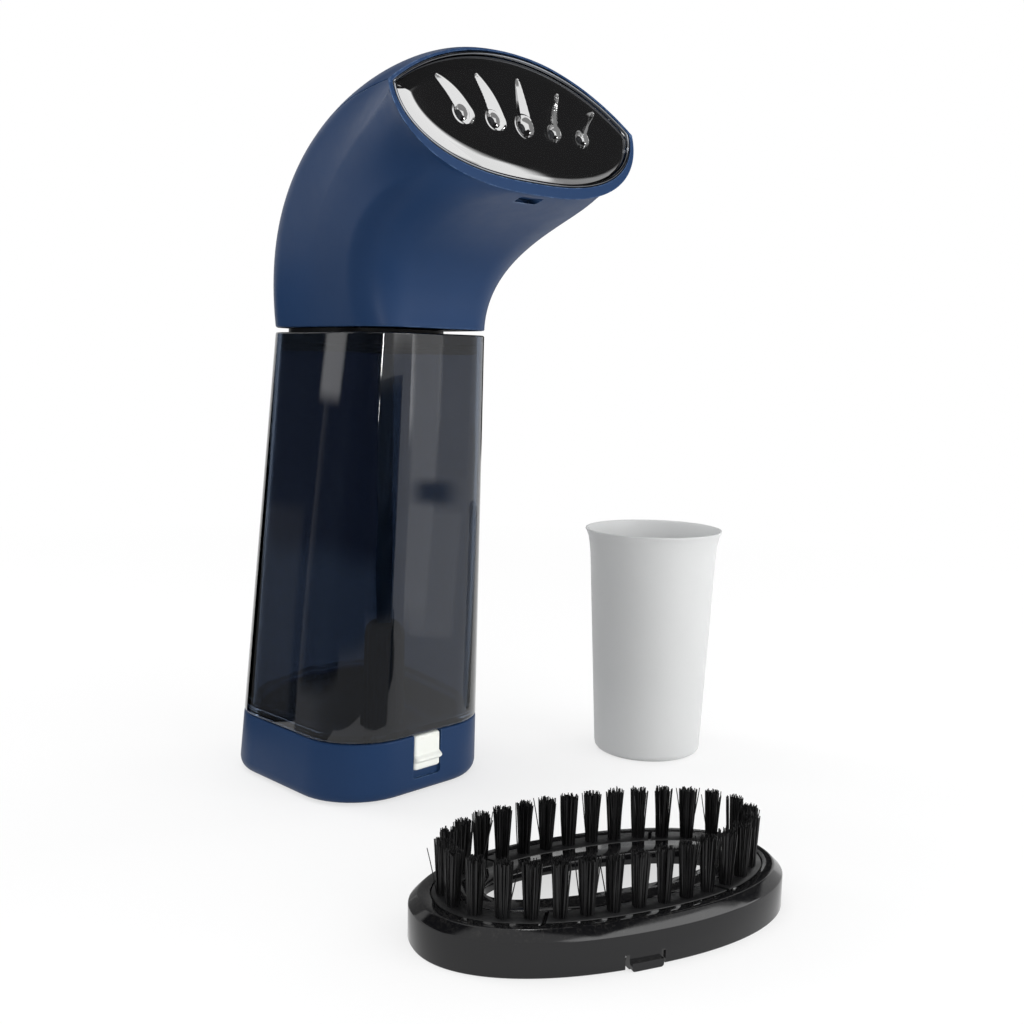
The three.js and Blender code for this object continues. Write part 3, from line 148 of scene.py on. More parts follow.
_, paper = flat_panel("floor", floor_half, floor_half)
matt = add_node(paper, "ShaderNodeBsdfDiffuse", {"Color": floor_white})
glow = add_node(paper, "ShaderNodeEmission", {"Color": (1, 1, 1, 1), "Strength": 1})
from_middle = add_node(
    paper, "ShaderNodeVectorMath", {0: own_place(paper)}, operation="LENGTH"
).outputs["Value"]
glow_here = remap(paper, from_middle, glow_from, glow_full, floor_glow, 1)
glow_part = math_node(paper, "MULTIPLY", seen_directly(paper), glow_here)
paper_mix = add_node(paper, "ShaderNodeMixShader", {
    0: glow_part, 1: matt.outputs[0], 2: glow.outputs[0],
})
add_node(paper, "ShaderNodeOutputMaterial", {"Surface": paper_mix.outputs[0]})

# Lamps and cards. Soft boxes light the object evenly, and cards stand where its glossy
# surfaces mirror them: dark ones for the black parts and the tank, bright ones for their
# edges. Only mirrored rays see the cards.
lamp_aim = Vector((0, -40, 130)) * mm
lamps = {
    "front": ((200, -1050, 520), (900, 700), 3.4),
    "front_low": ((520, -760, 90), (500, 160), 2.2),
    "left": ((-850, -620, 420), (500, 500), 2.0),
    "right": ((950, -260, 480), (420, 700), 1.8),
    "top": ((-160, 120, 1150), (700, 700), 3.0),
    "back": ((-420, 820, 620), (500, 500), 2.6),
}
cards = {
    # name: place, way it faces, half width, half height, soft share of its edges, brightness
    "plate_dark": ((600, 30, 800), (-1, 0, 0), 730, 500, 0.1, 0.035),
    "plate_high": ((188, -407, 935), (-0.235, 0.407, -0.883), 450, 300, 0.15, 0.03),
    "front_bright": ((240, -980, 690), (0, 1, 0), 660, 480, 0.25, 3.8),
    "front_right": ((590, -761, 315), (-0.66, 0.75, 0), 115, 275, 0.3, 3.5),
    "head_dark": ((-480, 330, 640), (0.66, -0.4, -0.6), 420, 380, 0.3, 0),
    "left_dark": ((-67, 66.5, 90), (0.588, -0.809, 0), 45, 90, 0, 0),
    "left_low": ((-63.5, 65, 51), (0.588, -0.809, 0), 18.2, 51, 0.15, 0.1),
    "left_bright": ((-56, 14.9, 165.5), (0.588, -0.809, 0), 5.4, 25, 0.35, 1.6),
    "right_bright": ((92, -167.2, 110), (-0.657, 0.754, 0), 11.5, 115, 0.25, 1.6),
    "right_edge": ((112.9, -152.4, 156), (-0.657, 0.754, 0), 17, 66, 0.2, 0.9),
    "right_low": ((104.6, -158.2, 38), (-0.657, 0.754, 0), 19, 42, 0.2, 1.3),
    "right_patch": ((92.2, -153.1, 88), (-0.657, 0.754, 0), 23, 10, 0.8, 0.12),
    "edge_light": ((-30, -150, 420), (0, 0, -1), 22, 22, 0.5, 30),
    "rear_dark": ((496, 399, 346), (-0.62, -0.68, -0.42), 330, 330, 0.1, 0.02),
    "streak_high": ((-55, -74, 162), (0.6, 0.8, 0), 1.7, 13, 0.6, 40),
    "streak_low": ((-54, -74, 138), (0.6, 0.8, 0), 0.8, 6, 0.6, 20),
}
# A fan of dark cards round the tank's left front corner, each before a dim one that
# shows under it.
corner_at = Vector((-24, -35, 0))
corner_soft, corner_low_behind, corner_low_glow = 0.15, 3, 0.3
corner_cards = {
    # way from the corner in degrees: distance, height, half width, foot of the dark card
    150: (60, 190, 34, 20),
    205: (60, 190, 34, 30),
    258: (50, 150, 29, 46),
}
for degrees, (distance, high, half_wide, dark_foot) in corner_cards.items():
    outward = Vector((math.cos(math.radians(degrees)), math.sin(math.radians(degrees)), 0))
    for name, behind, low, soft, bright in (
        ("dark", 0, dark_foot, corner_soft, 0), ("low", corner_low_behind, 0, 0, corner_low_glow)
    ):
        cards[f"corner_{name}_{degrees}"] = (
            corner_at + outward * (distance + behind) + Vector((0, 0, (low + high) / 2)),
            -outward, half_wide, (high - low) / 2, soft, bright,
        )
# A tinted flag behind the steamer that only the light through the tank meets
flag_place, flag_way, flag_half = (102, 183, 200), (-0.577, -0.817, 0), (52, 200)
flag_soft, flag_bright, flag_colour = 0.1, 1, (0.13, 0.16, 0.3, 1)


def face_along(thing, way, front="Z"):
    thing.rotation_mode = "QUATERNION"
    thing.rotation_quaternion = way.to_track_quat(front, "Y")


def add_lamp(name, place, size, watts):
    lamp_data = bpy.data.lights.new(name, "AREA")
    lamp_data.shape = "RECTANGLE"
    lamp_data.size, lamp_data.size_y = size[0] * mm, size[1] * mm
    lamp_data.energy = watts
    lamp = bpy.data.objects.new(name, lamp_data)
    scene.collection.objects.link(lamp)
    lamp.location = Vector(place) * mm
    lamp.visible_camera = False
    face_along(lamp, lamp_aim - lamp.location, "-Z")
    return lamp


def soft_edge(tree, place, half, soft):
    """1 inside a card's edge, fading to 0 at the edge over a share of its half size."""
    out = math_node(tree, "DIVIDE", math_node(tree, "ABSOLUTE", place), half * mm)
    return remap(tree, out, 1, 1 - soft, interpolation_type="SMOOTHSTEP")


def add_card(name, place, way, half_wide, half_high, soft, bright, colour, seen_by):
    card, tree = flat_panel(name, half_wide * mm, half_high * mm)
    shade = add_node(tree, "ShaderNodeEmission", {"Color": colour, "Strength": bright}).outputs[0]
    if soft:
        across = add_node(tree, "ShaderNodeSeparateXYZ", {0: own_place(tree)}).outputs
        mask = math_node(
            tree, "MULTIPLY", soft_edge(tree, across[0], half_wide, soft),
            soft_edge(tree, across[1], half_high, soft),
        )
        clear = add_node(tree, "ShaderNodeBsdfTransparent").outputs[0]
        shade = add_node(tree, "ShaderNodeMixShader", {0: mask, 1: clear, 2: shade}).outputs[0]
    add_node(tree, "ShaderNodeOutputMaterial", {"Surface": shade})
    card.location = Vector(place) * mm
    face_along(card, Vector(way))
    for ray in ("camera", "diffuse", "shadow", "glossy", "transmission"):
        setattr(card, f"visible_{ray}", ray == seen_by)


for lamp_name, lamp_values in lamps.items():
    add_lamp(lamp_name, *lamp_values).visible_glossy = False
for card_name, card_values in cards.items():
    add_card(card_name, *card_values, (1, 1, 1, 1), "glossy")
add_card(
    "flag", flag_place, flag_way, *flag_half, flag_soft, flag_bright, flag_colour, "transmission"
)

# Base shell. The blue foot of the steamer, injection-moulded in a satin plastic, that
# the tank stands in. Four screws from below hold the bottom plate to its bosses.
base_half = (37.1, 40.2)
base_corner = 24.2
base_top = 22.1
base_wall = 2.4
deck_low, deck_top, deck_inset = 5.5, 7.5, 3.4
foot_low, foot_inset, foot_rise, foot_rounding = 0.5, 4.4, 4.1, 2.9
foot_steps = 8
lip_radius = 0.8
tank_top = 162
tank_top_half = (27, 34.6)
tank_top_forward = 12
tank_top_corner = 14.1
corner_steps = 14
fit = 0.3
far = 5
weld = 0.002
plug_low, plug_high = 9.2, 21.8
plug_half_width = 6
plug_back = 38.06
window_corner = 1.3
scoop_height, scoop_depth = 3, 1.1
blue = (27, 51, 85)


def srgb(red, green, blue_value):
    shares = [value / 255 for value in (red, green, blue_value)]
    return tuple(
        share / 12.92 if share <= 0.04045 else ((share + 0.055) / 1.055) ** 2.4
        for share in shares
    ) + (1,)


def mix(low, high, share):
    return low + (high - low) * share


def arc(centre, radius, start, end, steps=5):
    """Points of a small rounding, with its two angles in degrees."""
    angles = np.radians(np.linspace(start, end, steps + 1))
    return [(centre[0] + radius * math.cos(a), centre[1] + radius * math.sin(a)) for a in angles]


def rounded_off(radius, share):
    """How far a quarter round of a radius still draws in at a share of its height."""
    return radius * (1 - math.sqrt(1 - (1 - share) ** 2))


def rounded_ring(half_width, half_depth, corner, forward, z, steps=corner_steps):
    ring = []
    for quarter, (sign_x, sign_y) in enumerate(((1, 1), (-1, 1), (-1, -1), (1, -1))):
        centre = (sign_x * (half_width - corner), sign_y * (half_depth - corner) - forward)
        turn = 90 * quarter
        ring += [(x, y, z) for x, y in arc(centre, corner, turn, turn + 90, steps)]
    return ring


def column_ring(z, inset, steps=corner_steps):
    share = z / tank_top
    return rounded_ring(
        mix(base_half[0], tank_top_half[0], share) - inset,
        mix(base_half[1], tank_top_half[1], share) - inset,
        max(mix(base_corner, tank_top_corner, share) - inset, fit),
        tank_top_forward * share,
        z,
        steps,
    )


def column_front(z):
    return mix(base_half[1], tank_top_forward + tank_top_half[1], z / tank_top)


def mesh_piece(name, points, faces, place=None):
    """A closed mesh from points in millimetres, moved to its place."""
    mesh = bpy.data.meshes.new(name)
    mesh.from_pydata([tuple(mm * value for value in point) for point in points], [], faces)
    shape = bmesh.new()
    shape.from_mesh(mesh)
    bmesh.ops.remove_doubles(shape, verts=shape.verts, dist=weld * mm)
    bmesh.ops.recalc_face_normals(shape, faces=shape.faces)
    shape.to_mesh(mesh)
    shape.free()
    if place:
        mesh.transform(place)
    piece = bpy.data.objects.new(name, mesh)
    scene.collection.objects.link(piece)
    return piece


def add_loft(points, faces, rings, looped=False):
    """Adds a closed form through rings of equally many points to points and faces."""
    count, first = len(rings[0]), len(points)
    points += [point for ring in rings for point in ring]
    for i in range(len(rings) if looped else len(rings) - 1):
        here, there = first + i * count, first + (i + 1) % len(rings) * count
        for j in range(count):
            after = (j + 1) % count
            faces.append((here + j, here + after, there + after, there + j))
    if not looped:
        faces.append(tuple(first + j for j in reversed(range(count))))
        faces.append(tuple(range(first + (len(rings) - 1) * count, first + len(rings) * count)))


def loft(name, rings, looped=False, place=None):
    points, faces = [], []
    add_loft(points, faces, rings, looped)
    return mesh_piece(name, points, faces, place)


def column_loft(name, profile, looped=False):
    """A piece that follows the column's outline, from (inset, height) pairs."""
    return loft(name, [column_ring(z, inset) for inset, z in profile], looped)


def full_turn(steps):
    """Even angles once round."""
    return np.linspace(0, 2 * math.pi, steps + 1)[:-1]


def turned(name, profile, place=None, steps=48, looped=False):
    """A piece turned about Z from (radius, height) pairs."""
    rings = [
        [(radius * math.cos(a), radius * math.sin(a), height) for a in full_turn(steps)]
        for radius, height in profile
    ]
    return loft(name, rings, looped, place)


def rod(radius, low, high, place=None, steps=32):
    return turned("tool", [(radius, low), (radius, high)], place, steps)


def combine(piece, tools, operation="DIFFERENCE"):
    """Cuts the tools out of a piece, or joins them to it, and removes them."""
    for tool in tools:
        step = piece.modifiers.new("cut", "BOOLEAN")
        step.operation = operation
        step.solver = "EXACT"
        step.object = tool
    depsgraph = bpy.context.evaluated_depsgraph_get()
    result = bpy.data.meshes.new_from_object(piece.evaluated_get(depsgraph))
    piece.modifiers.clear()
    piece.data = result
    for tool in tools:
        bpy.data.objects.remove(tool)


def shift(x=0, y=0, z=0):
    return Matrix.Translation(Vector((x, y, z)) * mm)


def shader_group(name, inputs, outputs):
    tree = bpy.data.node_groups.new(name, "ShaderNodeTree")
    for label, value in inputs.items():
        kind = "NodeSocketFloat" if isinstance(value, (int, float)) else "NodeSocketColor"
        tree.interface.new_socket(label, in_out="INPUT", socket_type=kind).default_value = value
    for label, kind in outputs.items():
        tree.interface.new_socket(label, in_out="OUTPUT", socket_type=kind)
    given = add_node(tree, "NodeGroupInput").outputs
    made = add_node(tree, "NodeGroupOutput").inputs
    return tree, given, made


def placed_noise(tree, size, detail=3.0, roughness=0.5):
    """Noise in the piece's own space with features of a size in millimetres."""
    scaled = add_node(tree, "ShaderNodeMapping", {
        "Vector": own_place(tree), "Scale": [1 / mm] * 3,
    }).outputs[0]
    if isinstance(size, bpy.types.NodeSocket):
        scale = math_node(tree, "DIVIDE", 1.0, size)
    else:
        scale = 1 / size
    return add_node(tree, "ShaderNodeTexNoise", {
        "Vector": scaled, "Scale": scale, "Detail": detail, "Roughness": roughness,
    }).outputs[0]


def blend_colour(tree, share, first, second):
    return add_node(
        tree, "ShaderNodeMix", {0: share, 6: first, 7: second}, data_type="RGBA"
    ).outputs[2]


# Slow and fine shifts of tone in a moulded or cast colour
tone_tree, given, made = shader_group(
    "moulded_tone",
    {"Colour": (0.5, 0.5, 0.5, 1), "Spread": 0.1, "Patch": 18.0},
    {"Colour": "NodeSocketColor", "Shift": "NodeSocketFloat"},
)
slow = placed_noise(tone_tree, given["Patch"], 4)
quick = placed_noise(tone_tree, 0.9, 2)
both = math_node(tone_tree, "MULTIPLY_ADD", quick, 0.3, math_node(tone_tree, "MULTIPLY", slow, 0.7))
shifted = remap(tone_tree, both, 0.3, 0.7, -1, 1)
factor = math_node(tone_tree, "MULTIPLY_ADD", shifted, given["Spread"], 1.0)
toned = add_node(tone_tree, "ShaderNodeVectorMath", {0: given["Colour"]}, operation="SCALE")
tone_tree.links.new(factor, toned.inputs["Scale"])
tone_tree.links.new(toned.outputs[0], made["Colour"])
tone_tree.links.new(shifted, made["Shift"])

# The fine relief of a mould's surface and the softer marks of handling
relief_tree, given, made = shader_group(
    "surface_relief",
    {"Grain": 0.35, "Marks": 6.0},
    {"Height": "NodeSocketFloat", "Gloss": "NodeSocketFloat"},
)
grain_height = placed_noise(relief_tree, given["Grain"], 2, 0.6)
marks = placed_noise(relief_tree, given["Marks"], 5, 0.65)
relief_tree.links.new(grain_height, made["Height"])
relief_tree.links.new(remap(relief_tree, marks, 0.35, 0.65, -1, 1), made["Gloss"])

# A mask of the convex edges: real wear where hands and tables rub first, and on the blue plastic a
# painted highlight along its edges
edge_tree, given, made = shader_group(
    "edge_wear_and_highlight", {"Amount": 0.5}, {"Mask": "NodeSocketFloat"}
)
rounded = add_node(edge_tree, "ShaderNodeBevel", {"Radius": 0.5 * mm}, samples=4)
plain = add_node(edge_tree, "ShaderNodeNewGeometry").outputs["Normal"]
turn = add_node(edge_tree, "ShaderNodeVectorMath", {0: rounded.outputs[0], 1: plain},
                operation="DOT_PRODUCT")
bent = remap(edge_tree, turn.outputs["Value"], 0.995, 0.9)
patchy = remap(edge_tree, placed_noise(edge_tree, 3.0, 5, 0.7), 0.4, 0.62)
worn_and_lit = math_node(edge_tree, "MULTIPLY", bent, patchy)
edge_tree.links.new(
    math_node(edge_tree, "MULTIPLY", worn_and_lit, given["Amount"], clamp=True), made["Mask"]
)

# A mask of the fine dust that settles on faces that look upwards
dust_tree, given, made = shader_group(
    "settled_dust", {"Amount": 0.2}, {"Mask": "NodeSocketFloat"}
)
facing = add_node(dust_tree, "ShaderNodeSeparateXYZ", {
    0: add_node(dust_tree, "ShaderNodeNewGeometry").outputs["Normal"],
}).outputs["Z"]
level = remap(dust_tree, facing, 0.5, 1)
speckle = remap(dust_tree, placed_noise(dust_tree, 1.1, 6, 0.8), 0.5, 0.72)
lying = math_node(dust_tree, "MULTIPLY", level, speckle)
dust_tree.links.new(
    math_node(dust_tree, "MULTIPLY", lying, given["Amount"], clamp=True), made["Mask"]
)

dust_grey = srgb(176, 172, 164)


def solid_finish(
    name, colour, roughness, spread=0.08, patch=18.0, grain=0.35, marks=6.0, relief=0.004,
    gloss_shift=0.04, wear_and_highlight_colour=None, wear_and_highlight=0.0, dust=0.0, **sockets
):
    """A finish of one colour with its tone, relief, handling marks, edge colour and dust; the edge
    colour is real wear on most finishes and a painted highlight on the blue plastic.
    """
    material = bpy.data.materials.new(name)
    material.use_nodes = True
    tree = material.node_tree
    shader = tree.nodes["Principled BSDF"]
    for key, value in sockets.items():
        shader.inputs[key.replace("_", " ")].default_value = value
    tone = add_node(tree, "ShaderNodeGroup", {
        "Colour": srgb(*colour), "Spread": spread, "Patch": patch,
    }, node_tree=tone_tree)
    surface = add_node(
        tree, "ShaderNodeGroup", {"Grain": grain, "Marks": marks}, node_tree=relief_tree
    )
    shade = tone.outputs["Colour"]
    rough = math_node(tree, "MULTIPLY_ADD", surface.outputs["Gloss"], gloss_shift, roughness)
    # Convex edges take a second colour: real wear on most finishes, a painted highlight on the blue
    # plastic
    if wear_and_highlight:
        edges = add_node(tree, "ShaderNodeGroup", {"Amount": wear_and_highlight}, node_tree=edge_tree).outputs[0]
        shade = blend_colour(tree, edges, shade, srgb(*wear_and_highlight_colour))
    if dust:
        lying_dust = add_node(
            tree, "ShaderNodeGroup", {"Amount": dust}, node_tree=dust_tree
        ).outputs[0]
        shade = blend_colour(tree, lying_dust, shade, dust_grey)
        rough = math_node(tree, "MULTIPLY_ADD", lying_dust, 0.5, rough)
    tree.links.new(shade, shader.inputs["Base Color"])
    tree.links.new(rough, shader.inputs["Roughness"])
    bump = add_node(tree, "ShaderNodeBump", {
        "Strength": 1.0, "Distance": relief * mm, "Height": surface.outputs["Height"],
    })
    tree.links.new(bump.outputs[0], shader.inputs["Normal"])
    return material


def dress(piece, material, slot, *nodes, body="steamer", angle=35):
    """Smooths a piece up to an angle, gives it its finish and body, and hides its nodes; the slot
    is not used.
    """
    piece.data.shade_smooth()
    piece.data.set_sharp_from_angle(angle=math.radians(angle))
    piece.data.materials.clear()
    piece.data.materials.append(material)
    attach(piece, body)
    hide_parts(*nodes)


def dress_nodes(material, *names):
    for name in names:
        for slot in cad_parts[name].material_slots:
            slot.material = material


# Its convex edges take a lighter blue: a painted highlight along the rim's crease and the base's
# top edge and foot
blue_plastic = solid_finish(
    "blue_plastic", blue, 0.42, spread=0.05, patch=24.0, grain=0.28, relief=0.0035,
    gloss_shift=0.03, wear_and_highlight_colour=(96, 122, 158), wear_and_highlight=0.7, dust=0.1, Specular_IOR_Level=0.12,
)

window_half = plug_half_width + fit


def plug_cut(low, high, back, front):
    """A tool as wide as the plug's window, rounded at its two lower corners."""
    middle, rise = window_half - window_corner, low + window_corner
    outline = [
        (window_half, high),
        (-window_half, high),
        *arc((-middle, rise), window_corner, 180, 270),
        *arc((middle, rise), window_corner, 270, 360),
    ]
    return loft("tool", [[(x, -y, z) for x, z in outline] for y in (back, front)])


foot_curve = [
    (rounded_off(foot_rounding, share), foot_low + share * foot_rise)
    for share in np.linspace(0, 1, foot_steps + 1)
]
base_profile = [
    (deck_inset, deck_low),
    (foot_inset, foot_low),
    *foot_curve,
    *arc((lip_radius, base_top - lip_radius), lip_radius, 180, 90),
    (base_wall, base_top),
    (base_wall, deck_top),
]
base_front = base_half[1] + far
boss_share = 0.62
boss_radius, boss_low, boss_high = 3.4, 3.7, 6.5
screw_bore, bore_high = 1.5, 6.8
boss_places = [
    shift(x * boss_share * base_half[0], y * boss_share * base_half[1])
    for x, y in ((1, 1), (-1, 1), (-1, -1), (1, -1))
]
base_shell = column_loft("moulded_base", base_profile)
combine(base_shell, [
    rod(boss_radius, boss_low, boss_high, place) for place in boss_places
], "UNION")
combine(base_shell, [
    plug_cut(plug_low - fit, 2 * base_top, plug_back - base_wall, base_front),
    plug_cut(
        plug_low - scoop_height, plug_low + fit,
        column_front(plug_low) - scoop_depth, base_front,
    ),
    *[rod(screw_bore, boss_low - far, bore_high, place) for place in boss_places],
])
dress(base_shell, blue_plastic, "blue_shell", "base_shell")

# Bottom plate and pad. A black moulded plate under the base, screwed up into the four
# bosses, with a soft non-slip pad stuck over the screw heads.
plate_low, plate_high, plate_inset, plate_edge = 1.3, 3.4, 4.6, 0.4
head_room, head_roof = 2.9, 2.7
bottom_plate = column_loft("bottom_plate", [
    (plate_inset + plate_edge, plate_low),
    (plate_inset, plate_low + plate_edge),
    (plate_inset, plate_high),
])
combine(bottom_plate, [
    rod(radius, plate_low - far, high, place)
    for place in boss_places
    for radius, high in ((head_room, head_roof), (screw_bore, plate_high + far))
])
black_plastic = solid_finish(
    "black_plastic", (30, 31, 33), 0.48, spread=0.1, patch=12.0, grain=0.3, relief=0.006,
    gloss_shift=0.06, dust=0.1, Specular_IOR_Level=0.35,
)
dress(bottom_plate, black_plastic, "black_plastic", "base_plate")

pad_profile = [
    (18, 0.3), (17.6, 0), (12.8, 0), (12.4, 0.3), (11.2, 0.3), (10.8, 0),
    (6, 0), (5.7, 0.1), (5.6, 0.3), (5.6, 0.8), (5.7, 0.95), (6, 1),
]
rubber_pad = column_loft("rubber_pad", pad_profile)
dark_rubber = solid_finish(
    "dark_rubber", (42, 43, 46), 0.75, spread=0.12, patch=7.0, grain=0.5, relief=0.02,
    gloss_shift=0.08, dust=0.25, Specular_IOR_Level=0.3,
)
dress(rubber_pad, dark_rubber, "soft_rubber", "base_pad")

# Screws. Zinc-plated self-tapping screws with a pan head, a cross recess and a
# tapered tip; four hold the bottom plate.
thread_pitch, thread_depth = 0.8, 0.22
head_flat_share, head_round, tip_share = 0.45, 0.5, 0.3
recess_reach, recess_half, recess_corner, recess_depth, recess_clear = 1.35, 0.3, 0.1, 0.7, 1
zinc_steel = solid_finish(
    "zinc_steel", (188, 190, 194), 0.3, spread=0.07, patch=2.0, grain=0.4, relief=0.004,
    gloss_shift=0.1, Metallic=1.0,
)


def screw(node, place, length, head=2.6, head_height=1.1, shank=1.2):
    """A screw from its seat at z = 0, with its head below and its tip above."""
    profile = [
        (head_flat_share * head, -head_height),
        *arc((head - head_round, head_round - head_height), head_round, -90, 0),
        (head, 0),
        (shank, 0),
    ]
    for z in np.arange(thread_pitch, length - 2 * thread_pitch, thread_pitch):
        profile += [(shank - thread_depth, z), (shank, z + thread_pitch / 2)]
    profile += [(shank - thread_depth, length - thread_pitch), (tip_share * shank, length)]
    piece = turned(f"{node}_cross", profile, steps=24)
    combine(piece, [
        loft("tool", [
            rounded_ring(half_x, half_y, recess_corner, 0, z, 2)
            for z in (-head_height - recess_clear, -head_height + recess_depth)
        ])
        for half_x, half_y in ((recess_reach, recess_half), (recess_half, recess_reach))
    ])
    piece.data.transform(place)
    dress(piece, zinc_steel, "steel", node)


base_screw_seat, base_screw_tip = 2.4, 6.5
for number, place in enumerate(boss_places, 1):
    screw(
        f"base_screw_{number}", place @ shift(z=base_screw_seat),
        base_screw_tip - base_screw_seat,
    )

# Filler neck. A short black tube that joins the tank's foot to the opening behind the
# plug, with a flange against the tank's wall.
port_height = (plug_low + plug_high) / 2
neck_bore, neck_radius, neck_flange = 4.3, 5.4, 6.2
neck_back, flange_back, neck_front = 33.66, 36.86, 37.76
neck_edge, flange_edge = 0.3, 0.25


def facing_forward(height, x=0):
    """A place whose Z runs forward from the middle of the steamer at a height."""
    return shift(x, 0, height) @ Matrix.Rotation(math.radians(90), 4, "X")


filler_neck = turned("neck_tube", [
    (neck_bore, neck_back),
    (neck_radius - neck_edge, neck_back),
    (neck_radius, neck_back + neck_edge),
    (neck_radius, flange_back),
    (neck_flange, flange_back),
    *arc((neck_flange - flange_edge, neck_front - flange_edge), flange_edge, 0, 90),
    (neck_bore + neck_edge, neck_front),
    (neck_bore, neck_front - neck_edge),
], facing_forward(port_height), looped=True)
dress(filler_neck, black_plastic, "black_plastic", "filler_neck")

# Water tank. One piece of smoked clear plastic with a real wall. Its narrowed foot
# stands inside the base, and its floor carries the filter.
tank_low, tank_foot_low, tank_foot_inset, tank_foot_wall = 22.4, 7.8, 4.5, 2
tank_wall, tank_shoulder, tank_edge = 2.2, 2.2, 0.6
smoke = (82, 93, 110)
tank_foot_chamfer, tank_foot_round = 0.8, 1.5
tank_floor_round, tank_floor_bend = 1.2, 0.35
tank_floor = tank_low + tank_shoulder
tank_foot_inside = tank_foot_inset + tank_foot_wall
tank_foot_floor = tank_foot_low + tank_foot_wall
tank_profile = [
    (tank_foot_inset + tank_foot_chamfer, tank_foot_low),
    (tank_foot_inset, tank_foot_low + tank_foot_chamfer),
    (tank_foot_inset, tank_low),
    *arc((tank_edge, tank_low + tank_edge), tank_edge, 270, 180),
    *arc((tank_edge, tank_top - tank_edge), tank_edge, 180, 90),
    *arc((tank_wall - tank_edge, tank_top - tank_edge), tank_edge, 90, 0),
    (tank_wall, tank_floor + tank_floor_round),
    (tank_wall + tank_floor_bend, tank_floor + tank_floor_bend),
    (tank_wall + tank_floor_round, tank_floor),
    (tank_foot_inside, tank_floor),
    (tank_foot_inside, tank_foot_floor + tank_foot_round),
    (tank_foot_inside + tank_foot_round, tank_foot_floor),
]
water_tank = column_loft("smoked_vessel", tank_profile)
combine(water_tank, [rod(
    neck_radius + fit, plug_back - 2 * tank_foot_inset, plug_back + far,
    facing_forward(port_height),
)])
smoked_plastic = solid_finish(
    "smoked_plastic", smoke, 0.04, spread=0.05, patch=30.0, grain=1.6, marks=9.0, relief=0.004,
    gloss_shift=0.015, Transmission_Weight=1, IOR=1.49, Specular_IOR_Level=0.35,
)
dress(water_tank, smoked_plastic, "smoked_tank", "water_tank")

# Suction filter and tube. A black fluted strainer stands on the tank's floor, and a
# clear silicone tube leads from it up to the pump.
pump_forward = 16
flute_count, flute_points = 12, 144
filter_radius, filter_groove, filter_edge, dome_radius = 7.5, 0.9, 0.6, 4.1
groove_power, dome_power = 0.7, 0.8
filter_low, filter_straight, filter_top = 10.1, 50.1, 56.1
tube_radius, tube_bore, tube_low, tube_high, tube_socket = 3, 1.9, 52.4, 173.1, 4
at_pump = shift(y=-pump_forward)


def fluted(radius, groove, z):
    ring = []
    for angle in full_turn(flute_points):
        depth = groove * (0.5 - 0.5 * math.cos(flute_count * angle)) ** groove_power
        ring.append(((radius - depth) * math.cos(angle), (radius - depth) * math.sin(angle), z))
    return ring


dome_shares = np.linspace(0, 1, 9)
suction_filter = loft("fluted_strainer", [
    fluted(filter_radius - filter_edge, filter_groove, filter_low),
    fluted(filter_radius, filter_groove, filter_low + filter_edge),
    *[
        fluted(
            mix(filter_radius, dome_radius, rounded_off(1, 1 - share)),
            filter_groove * (1 - share),
            mix(filter_straight, filter_top, share ** dome_power),
        )
        for share in dome_shares
    ],
], place=at_pump)
combine(suction_filter, [
    rod(tube_radius + fit, filter_top - tube_socket, filter_top + far, at_pump),
])
dress(suction_filter, black_plastic, "black_plastic", "suction_filter", angle=50)

suction_tube = turned("silicone_tube", [
    (tube_bore, tube_low), (tube_radius, tube_low),
    (tube_radius, tube_high), (tube_bore, tube_high),
], at_pump, steps=32, looped=True)
clear_silicone = solid_finish(
    "clear_silicone", (214, 218, 216), 0.42, spread=0.03, patch=9.0, grain=0.8, relief=0.01,
    Transmission_Weight=0.6, IOR=1.41,
)
dress(suction_tube, clear_silicone, "clear_silicone", "suction_tube")
dress_nodes(clear_silicone, "outlet_hose")

# Tank lid and seal. The black lid plugs the tank's top against a soft double-lipped
# seal, and its raised collar is what the head is screwed down to.
lid_low, lid_ledge, lid_top, head_bottom = 154.6, 158, 161.7, 163.7
lid_skirt_inset, lid_inset, lid_edge, lid_bore_low = 4.8, 2.5, 0.4, 156.7
collar_half, collar_corner, collar_forward = (22.5, 24.2), 12, 4.5
neck_screw_places = [shift(x, y) for y in (4, -22) for x in (17.5, -17.5)]


def collar_ring(z, inset=0):
    return rounded_ring(
        collar_half[0] - inset, collar_half[1] - inset, collar_corner - inset,
        collar_forward, z,
    )


tank_lid = loft("tank_cover", [
    column_ring(lid_low, lid_skirt_inset + lid_edge),
    column_ring(lid_low + lid_edge, lid_skirt_inset),
    column_ring(lid_ledge, lid_skirt_inset),
    column_ring(lid_ledge, lid_inset + lid_edge),
    column_ring(lid_ledge + lid_edge, lid_inset),
    column_ring(lid_top - lid_edge, lid_inset),
    column_ring(lid_top, lid_inset + lid_edge),
    collar_ring(lid_top, -lid_edge),
    collar_ring(lid_top + lid_edge),
    collar_ring(head_bottom - lid_edge / 2),
    collar_ring(head_bottom, lid_edge / 2),
])
combine(tank_lid, [
    rod(tube_radius + fit, lid_low - far, head_bottom + far, at_pump),
    *[rod(screw_bore, lid_bore_low, head_bottom + far, place) for place in neck_screw_places],
])
dress(tank_lid, black_plastic, "black_plastic", "tank_lid")

seal_profile = [
    (3.1, 155), (2.5, 155.3), (2.5, 155.9), (2.9, 156.3), (2.5, 156.7), (2.5, 157.3),
    (3.1, 157.7), (4.5, 157.7), (4.5, 155),
]
tank_seal = column_loft("tank_lip_seal", seal_profile, True)
dress(tank_seal, dark_rubber, "soft_rubber", "tank_seal")

